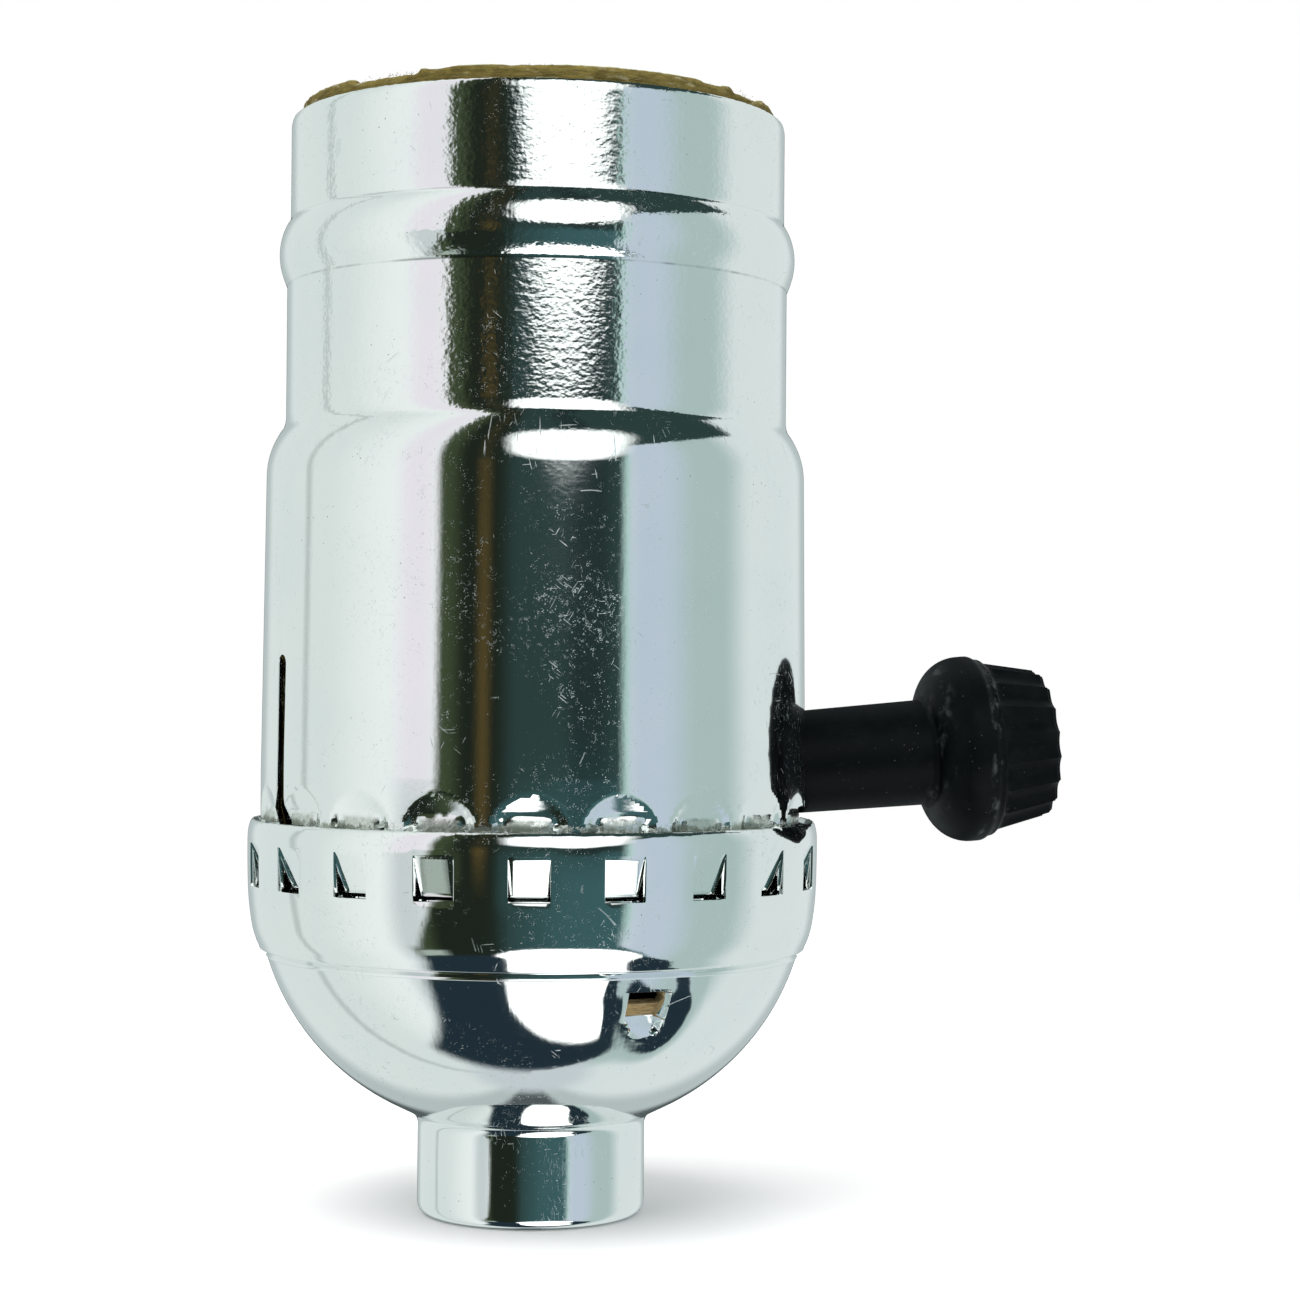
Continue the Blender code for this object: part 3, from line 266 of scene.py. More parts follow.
def polished_nickel():
    finish = Finish("polished_nickel", Metallic=1.0)
    peel_area = finish.z.ramp(47.0, 52.0, 0.10, 1.0)
    peel = finish.cloud(2.5, 1.5, 0.55, at=finish.stretched((1.0, 1.0, 1.25)))
    drawn = finish.cloud(1.0, 1.0, 0.5, at=finish.wrapped(60.0, 0.55))
    waves = finish.cloud(0.16, 0.0, 0.5)

    # Dust and pits, thicker on a rubbed spot of the body and in a strip down the hub
    rubbed = finish.vectors("DISTANCE", finish.place, (0.6, -17.4, 38.4)).ramp(1.2, 3.4, 1.0, 0.0)
    hub = finish.z.ramp(6.7, 6.2)
    worn = hub * finish.x.band(-0.5, 1.5, 0.5)
    dust = finish.cloud(0.22, 2.0, 0.6, seed=3.0).ramp(0.36, 0.62, 0.12, 1.0)
    dust = (dust * (1.0 - hub * 0.7) + rubbed + worn * 0.4).math("MINIMUM", 1.3)
    fleck_size = finish.cloud(1.5, 2.0, 0.7, seed=1.0).ramp(0.46, 0.72, 0.0, 0.30)
    flecks = finish.cells(6.5) < fleck_size * dust
    fine_size = finish.cloud(2.6, 2.0, 0.7, seed=2.0).ramp(0.46, 0.70, 0.0, 0.36)
    fine = finish.cells(15.0) < fine_size * dust
    pit_size = finish.cloud(0.3, 1.0, 0.5, seed=12.0).ramp(0.40, 0.65, 0.0, 0.075)
    pits = finish.cells(1.7) < pit_size

    # Hairline scratches, short ones on the same places, and upright ticks at the shoulder
    held = (rubbed * 0.6 + worn).math("MINIMUM", 1.0)
    long_hair = ((abs(finish.cloud(0.30, 0.0, 0.4, seed=5.0) - 0.5) < 0.0045)
                 * finish.cloud(0.6, 1.0, 0.5, seed=6.0).ramp(0.65, 0.68))
    short_hair = (finish.streaks(0.5, 30.0) + finish.streaks(-0.9, 31.0)
                  + finish.streaks(1.5, 32.0) + finish.streaks(-0.25, 33.0))
    short_hair = short_hair * (held * 0.9
                               + finish.cloud(0.4, 1.0, 0.5, seed=34.0).ramp(0.60, 0.64))
    ticks = finish.cloud(1.0, 1.0, 0.5, at=finish.wrapped(80.0, 0.28), seed=7.0).ramp(0.655, 0.70)
    ticks = ticks * finish.z.band(47.4, 50.1, 0.5)
    marks = (flecks + fine * 0.8 + long_hair * 0.6 + short_hair * 0.6
             + ticks * 0.8).math("MINIMUM", 1.0)

    # Grime and painted shade by the cap's rim, dirty rough catches in the shell's edge, painted
    # shade in the bead's creases
    above_rim = finish.z.ramp(25.22, 25.30)
    grime_and_shade_band = above_rim * finish.z.ramp(25.42, 25.95, 1.0, 0.0)
    # Painted shade and grime: darkest at the cap's rim, fading up the shell, mottled
    rim_grime_and_shade = (finish.cloud(2.2, 4.0, 0.75, seed=20.0) * 0.8
             + finish.cloud(0.3, 1.0, 0.5, seed=22.0) * 0.5 + grime_and_shade_band * 0.12)
    rim_grime_and_shade = rim_grime_and_shade.ramp(0.70, 0.80) * grime_and_shade_band
    catches = ((finish.turn() - WINDOW_AZIMUTH) * WINDOWS).math("COSINE").ramp(-0.10, 0.25)
    catches = catches * above_rim * finish.z.ramp(25.85, 26.15, 1.0, 0.0)
    catches = catches * finish.cloud(3.2, 3.0, 0.7, seed=23.0).ramp(0.28, 0.60, 0.30, 1.0)
    # Painted shade: dark mottled lines along the bead's two creases
    crease_shade = finish.z.band(59.22, 59.34, 0.05) + finish.z.band(63.44, 63.52, 0.04) * 0.6
    crease_shade = crease_shade * finish.cloud(0.35, 2.0, 0.6, seed=24.0).ramp(0.40, 0.62, 0.15, 1.0)

    stain = finish.cloud(0.12, 3.0, 0.6, seed=9.0).ramp(0.35, 0.75)
    scuffed = worn * finish.cloud(2.2, 3.0, 0.7, seed=18.0).ramp(0.35, 0.65)
    colour = finish.layers(
        (0.885, 0.905, 0.89), (stain, (0.84, 0.875, 0.865)), (marks * 0.55, (0.70, 0.76, 0.75)),
        (pits * 0.8, DIRT_AND_SHADE), (rim_grime_and_shade * 0.75, (0.27, 0.30, 0.22)),
        (catches * 0.62, (0.40, 0.44, 0.36)), (crease_shade * 0.60, DIRT_AND_SHADE))
    rough = (0.045 + stain * 0.025 + peel_area * 0.02 + scuffed * 0.13 + marks * 0.40
             + rim_grime_and_shade * 0.35 + catches * 0.32)
    height = (peel * peel_area * 0.0145 + drawn * (0.0010 + peel_area * 0.0016) + waves * 0.012
              - marks * 0.0030 - pits * 0.004 + rim_grime_and_shade * 0.006 + catches * 0.010)
    return finish.finished(colour, rough, height)


def brass(name, light, dark, gloss):
    finish = Finish(name, Metallic=1.0)
    tarnish = finish.cloud(0.35, 4.0, 0.6, seed=4.0).ramp(0.35, 0.75)
    grain = finish.cloud(1.0, 2.0, 0.5, at=finish.stretched((6.0, 6.0, 0.8)))
    spots = finish.cloud(3.0, 2.0, 0.6, seed=8.0).ramp(0.62, 0.72)
    colour = finish.layers(light, (tarnish, dark), (spots * 0.6, (0.30, 0.20, 0.10)))
    rough = gloss + tarnish * 0.16 + spots * 0.2
    return finish.finished(colour, rough, grain * 0.002 + tarnish * 0.002)


def plated_steel(name, tone, gloss):
    """Zinc or bare steel: faint crystals, worn darker in patches."""
    finish = Finish(name, Metallic=1.0)
    crystal = finish.node("ShaderNodeSeparateColor", inputs={0: finish.cells(1.6, output=1)})
    wear = finish.cloud(0.6, 4.0, 0.6).ramp(0.40, 0.70)
    colour = finish.layers(tone, (wear, tuple(0.72 * c for c in tone)),
                           (crystal * 0.25, (0.80, 0.82, 0.84)))
    rough = gloss + wear * 0.15 + crystal * 0.06
    return finish.finished(colour, rough, finish.cloud(5.0, 2.0), 0.000004)


def pressed_fibre(name, light, dark, across, nap_from=999.0):
    """Insulating board: strands along the sheet, and paler nap from a height, where it is torn."""
    finish = Finish(name, Specular_IOR_Level=0.25)
    strands = finish.cloud(1.0, 4.0, 0.65, at=finish.stretched((1.1, 1.1, across)))
    mottle = finish.cloud(0.55, 3.0, 0.6, seed=2.0)
    nap = finish.cloud(9.0, 3.0, 0.7, seed=3.0)
    pale = finish.cloud(0.8, 4.0, 0.7, at=finish.stretched((1.0, 1.0, 3.0)), seed=7.0)
    torn = finish.z.ramp(nap_from, nap_from + 0.14) * nap.ramp(0.30, 0.55, 0.35, 1.0)
    colour = finish.layers(dark, ((strands * 0.55 + mottle * 0.45).ramp(0.34, 0.62), light),
                           (pale.ramp(0.55, 0.68) * 0.40, (0.46, 0.43, 0.29)),
                           (torn, (0.62, 0.66, 0.55)))
    return finish.finished(colour, 0.86 + nap * 0.12, strands * 0.10 + nap * 0.05)


def knob_sheen_and_wear(finish):
    """Painted highlights on the collar, and grey patches where the bell meets the stem, part smudge
    and part painted sheen.
    """
    patchy = finish.cloud(1.3, 3.0, 0.65, at=finish.stretched((1.0, 0.6, 0.6)), seed=40.0)
    places = finish.x.band(25.7, 26.7, 0.4) * 0.45 + finish.x.band(29.0, 29.7, 0.2) * 0.8
    return patchy.ramp(0.50, 0.72) * places


def moulded_black(name, gloss, shine, dust, tone, worn=None):
    """Moulded black plastic: fine texture, faint flow marks and a little grey dust."""
    finish = Finish(name, Specular_IOR_Level=shine)
    skin = finish.cloud(7.0, 3.0, 0.6)
    flow = finish.cloud(0.5, 3.0, 0.6, at=finish.stretched((0.4, 1.2, 1.2)), seed=2.0)
    dusty = finish.cloud(0.45, 4.0, 0.65, seed=4.0).ramp(0.44, 0.72)
    specks = (finish.cells(2.6).ramp(0.05, 0.12, 1.0, 0.0)
              * finish.cloud(0.9, 1.0, seed=5.0).ramp(0.52, 0.60))
    rub = finish.cloud(1.0, 2.0, 0.6, at=finish.stretched((1.2, 5.0, 5.0)), seed=6.0)
    colour = finish.layers(tone, (dusty * dust, (0.050, 0.056, 0.058)),
                           (rub.ramp(0.58, 0.74) * dust * 0.5, (0.08, 0.085, 0.085)),
                           (specks * 0.35, (0.16, 0.18, 0.18)))
    # The knob's painted highlights and grey smudges, when a function for them is given
    if worn:
        colour = finish.blend(worn(finish), colour, (0.060, 0.068, 0.070))
    rough = gloss + dusty * 0.12 + skin * 0.06 + specks * 0.2
    return finish.finished(colour, rough, skin * 0.006 + flow * 0.012)


# Objects

def linked(name, data):
    """A new object of the scene."""
    obj = bpy.data.objects.new(name, data)
    bpy.context.scene.collection.objects.link(obj)
    return obj


def meshed(name, bm):
    """A bmesh as a new object."""
    mesh = bpy.data.meshes.new(name)
    bm.to_mesh(mesh)
    bm.free()
    return linked(name, mesh)


def piece(name, bm, material, sharp=30.0):
    """A bmesh as a named object, smooth apart from its sharp edges."""
    obj = meshed(name, bm)
    obj.data.shade_smooth()
    obj.data.set_sharp_from_angle(angle=radians(sharp))
    obj.data.materials.append(material)
    return obj


def edited(obj, change):
    """Runs a change on an object's mesh."""
    bm = bmesh.new()
    bm.from_mesh(obj.data)
    change(bm)
    bm.to_mesh(obj.data)
    bm.free()
    return obj


def settle(obj):
    """Turns what the modifiers make into the object's own mesh."""
    bpy.context.view_layer.update()
    graph = bpy.context.evaluated_depsgraph_get()
    mesh = bpy.data.meshes.new_from_object(obj.evaluated_get(graph), depsgraph=graph)
    obj.modifiers.clear()
    obj.data = mesh
    mesh.name = obj.name
    return obj


def modified(obj, kind, **settings):
    """Runs one modifier on an object."""
    modifier = obj.modifiers.new(kind, kind)
    for name, setting in settings.items():
        setattr(modifier, name, setting)
    return settle(obj)


def thickened(obj, wall):
    """Gives a drawn sheet its thickness, inwards."""
    return modified(obj, "SOLIDIFY", thickness=wall, offset=-1.0)


def subtract(obj, tool):
    """Cuts a scratch object out of a piece."""
    modified(obj, "BOOLEAN", operation="DIFFERENCE", solver="EXACT", object=tool)
    bpy.data.objects.remove(tool, do_unlink=True)


def soft_edges(obj, width):
    """Takes the sharpness off a piece's edges."""
    modified(obj, "BEVEL", width=width, segments=2, limit_method="ANGLE",
             angle_limit=radians(50))
    obj.data.set_sharp_from_angle(angle=radians(32))
    return obj


def join(first, second):
    """Adds one object's mesh to another's."""
    edited(first, lambda bm: bm.from_mesh(second.data))
    bpy.data.objects.remove(second, do_unlink=True)


def outward_faces(obj):
    """Turns each face of a mesh so that it looks away from the socket's axis."""
    def change(bm):
        for face in bm.faces:
            middle = face.calc_center_median()
            middle.z = 0.0
            if face.normal.dot(middle) < 0:
                face.normal_flip()
    return edited(obj, change)


def dress(obj, body, slot, *nodes):
    """Puts a finished piece on the body it rides on and hides the parts it stands for; slot is not
    used.
    """
    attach(obj, body)
    if nodes:
        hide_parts(*nodes)
    return obj


# Outlines of (radius, z) points

def fair(low, high, value):
    """Smooth step in plain numbers."""
    t = min(max((value - low) / (high - low), 0.0), 1.0)
    return t * t * (3 - 2 * t)


def softened(outline, steps=4):
    """An outline of (radius, z, reach) points with each corner rounded over its reach."""
    points = []
    for i, (radius, z, reach) in enumerate(outline):
        here = Vector((radius, z))
        if reach == 0.0 or i in (0, len(outline) - 1):
            points.append(here)
            continue
        before = (Vector(outline[i - 1][:2]) - here).normalized() * reach
        after = (Vector(outline[i + 1][:2]) - here).normalized() * reach
        for k in range(steps + 1):
            t = k / steps
            points.append(here + before * (1 - t) ** 2 + after * t ** 2)
    return points


def dense(points, step):
    """The same outline with a point at least every step."""
    result = [points[0]]
    for start, end in zip(points, points[1:]):
        parts = max(1, ceil((end - start).length / step))
        result += [start.lerp(end, k / parts) for k in range(1, parts + 1)]
    return result


def leaned(radius, stations, step):
    """Outline from (height, lean in degrees) stations; lean is how far the face looks up."""
    points = [Vector((radius, stations[0][0]))]
    for (start, lean), (end, next_lean) in zip(stations, stations[1:]):
        parts = max(1, ceil(abs(end - start) / step))
        for k in range(parts):
            tilt = radians(lean + (next_lean - lean) * (k + 0.5) / parts)
            radius -= tan(tilt) * (end - start) / parts
            points.append(Vector((radius, start + (end - start) * (k + 1) / parts)))
    return points


def straight(start, end, step):
    """The rest of a straight run, with closer points by its ends so that it shades flat."""
    first, second, third = 0.00008, 0.00025, 0.0007
    length = (end - start).length
    between = length - 2 * third
    count = max(1, round(between / step))
    marks = [first, second, third]
    marks += [third + between * k / count for k in range(1, count + 1)]
    marks += [length - second, length - first, length]
    return [start.lerp(end, mark / length) for mark in marks]


def quarter(start, end, steps, flat_first):
    """The rest of a quarter ellipse between two points, that sets out flat or upright."""
    (radius, z), (end_radius, end_z) = start, end
    points = []
    for k in range(1, steps + 1):
        turn = pi / 2 * k / steps
        flat, steep = sin(turn), 1 - cos(turn)
        across, up = (flat, steep) if flat_first else (steep, flat)
        points.append((radius + (end_radius - radius) * across, z + (end_z - z) * up))
    return points


def half_round(radius, steps, rise=0.0):
    """Half a circle over the axis, as (across, up) points."""
    return [(radius * cos(pi * i / steps), rise + radius * sin(pi * i / steps))
            for i in range(steps + 1)]


# Meshes from loops of points

def skin(bm, loops):
    """Quads between each loop of vertices and the next; a loop of one vertex is a pole."""
    for lower, upper in zip(loops, loops[1:]):
        count = max(len(lower), len(upper))
        for k in range(count):
            after = (k + 1) % count
            corners = (lower[k % len(lower)], lower[after % len(lower)],
                       upper[after % len(upper)], upper[k % len(upper)])
            bm.faces.new(list(dict.fromkeys(corners)))


def closed(bm, loops):
    """A solid through loops of vertices, with flat ends."""
    skin(bm, loops)
    bm.faces.new(loops[0])
    bm.faces.new(loops[-1][::-1])
    bmesh.ops.recalc_face_normals(bm, faces=bm.faces)
    return bm


def ring(bm, points):
    """Vertices at (angle, radius, height) points."""
    return [bm.verts.new((radius * cos(angle), radius * sin(angle), z))
            for angle, radius, z in points]


def sheet_grid(rows, columns, reach):
    """A sheet round the Z axis: reach(angle, row) gives a vertex's angle, radius and height."""
    bm = bmesh.new()
    skin(bm, [ring(bm, (reach(angle, row) for angle in columns)) for row in rows])
    return bm


def turned(outline, steps):
    """A solid of revolution about Z from (radius, z) points, its ends on the axis or joined."""
    bm = bmesh.new()
    loops = [ring(bm, [(tau * k / steps, radius, z) for k in range(steps if radius > 1e-7 else 1)])
             for radius, z in outline]
    if len(loops[0]) > 1 and len(loops[-1]) > 1:
        loops.append(loops[0])
    skin(bm, loops)
    bmesh.ops.recalc_face_normals(bm, faces=bm.faces)
    return bm


def prism(outline, near, far, matrix):
    """A scratch solid: an outline of (across, up) points, drawn out along the first axis."""
    bm = bmesh.new()
    closed(bm, [[bm.verts.new((x, a, b)) for a, b in outline] for x in (near, far)])
    bm.transform(matrix)
    return meshed("tool", bm)


# Geometry trees

def node_group(name, **sockets):
    """A new geometry tree and its inputs by name; the last input is its material."""
    tree = bpy.data.node_groups.new(name, "GeometryNodeTree")
    for label, kind in {"Geometry": "Geometry", **sockets, "Material": "Material"}.items():
        tree.interface.new_socket(label.replace("_", " "), in_out="INPUT",
                                  socket_type=f"NodeSocket{kind}")
    tree.interface.new_socket("Geometry", in_out="OUTPUT", socket_type="NodeSocketGeometry")
    graph = Graph(tree)
    inside = tree.nodes.new("NodeGroupInput")
    return graph, {socket.name: Value(graph, socket) for socket in inside.outputs if socket.name}


def close_group(graph, geometry, material):
    """Realizes what the tree makes, gives it its material and ends the tree."""
    real = graph.node("GeometryNodeRealizeInstances", inputs={0: geometry})
    smooth = graph.node("GeometryNodeSetShadeSmooth", inputs={0: real})
    done = graph.node("GeometryNodeSetMaterial", inputs={0: smooth, "Material": material})
    graph.feed(graph.tree.nodes.new("NodeGroupOutput").inputs[0], done)
    return graph.tree


def grown(name, tree, **inputs):
    """A plain mesh object from a geometry tree, its inputs set by name."""
    obj = linked(name, bpy.data.meshes.new(name))
    modifier = obj.modifiers.new("made", "NODES")
    modifier.node_group = tree
    for item in tree.interface.items_tree:
        label = item.name.replace(" ", "_")
        if item.item_type == "SOCKET" and item.in_out == "INPUT" and label in inputs:
            modifier[item.identifier] = inputs[label]
    return settle(obj)


def wrapped_sheet(name, tree_name, columns, rows, profile, metal, **sizes):
    """A sheet wrapped round the axis; profile(given, turns, y, up) is its share of the depth."""
    graph, given = node_group(tree_name, **dict.fromkeys(sizes, "Float"))
    sheet = graph.node("GeometryNodeMeshGrid", inputs={"Size X": 1.0, "Size Y": 1.0,
                                                       "Vertices X": columns, "Vertices Y": rows})
    x, y = graph.split(graph.node("GeometryNodeInputPosition"), 2)
    around, up = x + 0.5, (y + 0.5) * given["Height"]
    turns = up / given["Pitch"] - around
    radius = given["Radius"] + given["Depth"] * profile(given, turns, y, up)
    turn = around * tau
    place = graph.vector(turn.math("COSINE") * radius, turn.math("SINE") * radius,
                         given["Bottom"] + up)
    wall = graph.node("GeometryNodeSetPosition", inputs={"Geometry": sheet, "Position": place})
    merged = graph.node("GeometryNodeMergeByDistance", inputs={"Geometry": wall, "Distance": 1e-7})
    tree = close_group(graph, merged, given["Material"])
    return outward_faces(grown(name, tree, Material=metal, **sizes))


# Shell and cap

def window_offset(angle):
    """Angle from the middle of the nearest window."""
    return remainder(angle - WINDOW_AZIMUTH, PITCH_ANGLE)


def shell_rows():
    """Outline of the drawn shell, from its lower edge up to its lip."""
    low = dense([Vector((BODY_RADIUS - 0.0003, SHELL_BOTTOM)), Vector((BODY_RADIUS, 0.0212)),
                 Vector((BODY_RADIUS, DENT_BAND[0]))], 0.0007)
    dents = dense([Vector((BODY_RADIUS, z)) for z in DENT_BAND], 0.00016)[1:]
    body = straight(dents[-1], Vector((SHOULDER_RADIUS, BODY_TOP)), 0.006)
    shoulder = leaned(SHOULDER_RADIUS, [(BODY_TOP, 0.6), (NECK, 36.5)], 0.00025)[1:]
    fillet = leaned(shoulder[-1].x, [(NECK, 22), (NECK + 0.00075, 0)], 0.00012)[1:]
    neck = straight(fillet[-1], Vector((fillet[-1].x, BEAD)), 0.003)
    bead_end, lip_start, edge_start = LIP - 0.00015, LIP + 0.0003, SHELL_TOP - 0.0005
    bead = leaned(neck[-1].x, [(BEAD, -23), (BEAD + 0.0007, -19), (BEAD + 0.0019, -2),
                               (BEAD + 0.0034, 20), (bead_end, 37)], 0.0002)[1:]
    corner = leaned(bead[-1].x, [(bead_end, 10), (lip_start, 0)], 0.00015)[1:]
    lip = corner + straight(corner[-1], Vector((corner[-1].x, edge_start)), 0.0017)
    edge = leaned(lip[-1].x, [(edge_start, 0), (SHELL_TOP, 22)], 0.00013)[1:]
    return [tuple(p) for p in low + dents + body + shoulder + fillet + neck + bead + lip + edge]


def press_mark(angle, z):
    """Half-moon dent over a window, with the flush catch punched back out of it at the rim.

    Gives the vertex's new angle and height, and how far it rises."""
    by_knob = abs(remainder(angle, tau)) < radians(20)
    if by_knob or not 0.0204 < z < DENT_BAND[1]:
        return angle, z, 0.0
    if z < 0.0243:      # pressed in behind the cap's windows, where the tabs bear on it
        across = abs(window_offset(angle)) * BODY_RADIUS
        level = fair(0.0204, 0.0212, z) * fair(0.0243, 0.0233, z)
        return angle, z, -0.00045 * fair(0.0023, 0.0013, across) * level
    across, up = window_offset(angle) * BODY_RADIUS, z - CAP_RIM
    away = hypot(across, up) / DENT_RADIUS
    if 0.94 < away < 1.06 and up > -0.0003:     # the nearest points move onto the dent's edge
        angle += (across / away - across) / BODY_RADIUS
        z += up / away - up
        across, up, away = across / away, up / away, 1.0
    dent = 0.0
    if away < 1.0:
        over = sqrt(DENT_RADIUS ** 2 - across ** 2) - up
        dent = DENT_SLOPE * min(over, DENT_REACH) * fair(0.0243, 0.0252, z)
    ragged = noise.noise(Vector((angle * 90, z * 5200, 3))) * 0.05
    catch = max(abs(across) / CATCH_HALF, (up + CATCH_BELOW) / CATCH_TALL) + ragged
    flush = 0.72 * fair(1.14, 0.88, catch)
    grain = noise.noise(Vector((angle * 260, z * 1500, 8)))
    return angle, z, -dent * (1 - flush) + (0.00001 + 0.000012 * grain) * flush


def outer_shell(nickel):
    def reach(angle, row):
        radius, z = row
        burr = 0.0
        if z > SHELL_TOP - 0.0002:
            burr = 0.00004 * noise.noise(Vector((angle * 40, 5, 0)))
        angle, z, rise = press_mark(angle, z)
        return angle, radius + rise, z + burr

    count = 400
    columns = [WINDOW_AZIMUTH + tau * k / count for k in range(count)]
    shell = piece("drawn_shell", sheet_grid(shell_rows(), columns, reach), nickel)
    thickened(shell, SHELL_WALL)
    subtract(shell, stem_notch())
    subtract(shell, squeeze_slit())
    return dress(soft_edges(shell, 0.00005), "housing", "plated_shell", "outer_shell")


def stem_notch():
    """The upside-down U in the shell's edge, round the knob's stem."""
    inside, outside = 0.012, 0.021
    rim, foot, mouth_half = CAP_RIM - AXIS_Z, -0.012, 0.0063
    side = [(-NOTCH_RADIUS, AXIS_Z * -0.1), (-NOTCH_RADIUS * 1.12, rim),
            (-mouth_half, rim - 0.0004), (-mouth_half, foot)]
    outline = half_round(NOTCH_RADIUS, 24) + side + [(-across, up) for across, up in side[::-1]]
    return prism(outline, inside, outside, Matrix.Translation((0, 0, AXIS_Z + KNOB_RISE)))


def squeeze_slit():
    """The slit that lets the shell's edge give; its mouth is flared."""
    inside, outside, foot, waist = 0.014, 0.021, 0.019, 0.0300
    side = [(-SLIT_HALF * 0.92, waist), (-SLIT_HALF, CAP_RIM + 0.0016),
            (-SLIT_MOUTH_HALF, CAP_RIM), (-SLIT_MOUTH_HALF, foot)]
    outline = half_round(SLIT_HALF, 16, SLIT_TOP - SLIT_HALF) + side
    outline += [(-across, up) for across, up in side[::-1]]
    return prism(outline, inside, outside, Matrix.Rotation(SLIT_AZIMUTH, 4, "Z"))


def dome_arc():
    """The dome's arc as (centre radius, centre z, radius, last lean)."""
    foot_radius = HUB_RADIUS + 0.0014
    wide, tall = DOME_RADIUS - foot_radius, DOME_TOP - HUB_TOP
    sweep = 2 * (atan2(wide, tall) - DOME_LEAN)
    radius = hypot(wide, tall) / 2 / sin(sweep / 2)
    return (DOME_RADIUS - radius * cos(DOME_LEAN), DOME_TOP + radius * sin(DOME_LEAN),
            radius, DOME_LEAN + sweep)


def cap_rows():
    """Outline of the cap from its rim down to the end of the hub."""
    rim = leaned(CAP_RADIUS - 0.00027, [(CAP_RIM, 62), (CAP_RIM - 0.00006, 40),
                                        (CAP_RIM - 0.0002, 21), (CAP_RIM - 0.00088, 4),
                                        (WINDOW_TOP, 0)], 0.0001)
    window = leaned(rim[-1].x, [(WINDOW_TOP, 0), (WINDOW_BOTTOM, -2)], 0.00045)[1:]
    skirt = leaned(window[-1].x, [(WINDOW_BOTTOM, -2), (SKIRT, -9.5), (0.01725, -26)],
                   0.0004)[1:]
    roll = [(*skirt[-1], 0), (skirt[-1].x - 0.00006, RIDGE + 0.00008, 0.00006),
            (GROOVE_RADIUS + 0.00004, RIDGE, 0.00010),
            (DOME_RADIUS - 0.00006, DOME_TOP + 0.00006, 0.00010),
            (DOME_RADIUS + 0.00002, DOME_TOP - 0.00012, 0)]
    centre, centre_z, arc, last = dome_arc()
    count, tang_foot = 78, 0.0122       # rows are three times as close above the tang's foot
    leans = [DOME_LEAN + (last - DOME_LEAN) * k / count for k in range(1, count + 1)]
    leans = [a for i, a in enumerate(leans)
             if i % 3 == 0 or tang_foot < centre_z - arc * sin(a)]
    dome = [Vector((centre + arc * cos(a), centre_z - arc * sin(a))) for a in leans]
    corner = dome[-1].y - (dome[-1].x - HUB_RADIUS) / tan(leans[-1])
    hub = [(*dome[-1], 0), (HUB_RADIUS, corner, 0.00066), (HUB_RADIUS, 0.0, 0.00085),
           (HUB_HOLE_RADIUS, 0.0, 0)]
    rows = rim + window + skirt + softened(roll, 3)[1:] + dome + dense(softened(hub, 7), 0.002)[1:]
    return [tuple(p) for p in rows]


def cap_columns():
    """Angles of the cap's columns: even over each window, closer by the windows between them."""
    angles = []
    gap = PITCH_ANGLE - 2 * WINDOW_HALF_ANGLE
    for k in range(WINDOWS):
        middle = WINDOW_AZIMUTH + PITCH_ANGLE * k
        angles += [middle - WINDOW_HALF_ANGLE + 2 * WINDOW_HALF_ANGLE * i / 6 for i in range(6)]
        angles += [middle + WINDOW_HALF_ANGLE + gap * (0.5 - 0.5 * cos(pi * i / 12))
                   for i in range(12)]
    return angles


def rim_burr(angle):
    """Unevenness of the cap's rim, with one nick in view."""
    nick = (angle - radians(-85.5)) * CAP_RADIUS / 0.00028
    return (0.00005 * noise.noise(Vector((angle * 34, 1, 0)))
            + 0.00004 * noise.noise(Vector((angle * 110, 2, 0))) - 0.00016 * exp(-nick ** 2))


def socket_cap(nickel):
    give, give_reach = 0.000018, 0.00045    # of the sheet, inwards round each window

    def reach(angle, row):
        radius, z = row
        burr = rim_burr(angle) if z > CAP_RIM - 0.0002 else 0.0
        press = 0.0
        if z > 0.0185:
            across = max(abs(window_offset(angle)) * CAP_RADIUS - WINDOW_HALF, 0.0)
            up = max(z - WINDOW_TOP, WINDOW_BOTTOM - z, 0.0)
            press = give * exp(-(hypot(across, up) / give_reach) ** 2)
        angle, z, dent = tang_pocket(angle, z)
        return angle, radius - press - dent, z + burr

    def is_open(face):
        middle = face.calc_center_median()
        angle = atan2(middle.y, middle.x)
        in_window = (WINDOW_BOTTOM < middle.z < WINDOW_TOP
                     and abs(window_offset(angle)) < WINDOW_HALF_ANGLE)
        return in_window or in_tang_hole(angle, middle.z)

    bm = sheet_grid(cap_rows(), cap_columns(), reach)
    for face in bm.faces:
        face.normal_flip()
    bmesh.ops.delete(bm, geom=[face for face in bm.faces if is_open(face)], context="FACES")
    cap = thickened(piece("drawn_cap", bm, nickel), SHELL_WALL)
    join(cap, thickened(ring_of_tabs(nickel), SHELL_WALL * 0.9))
    return dress(soft_edges(cap, 0.00004), "housing", "plated_shell", "socket_cap")


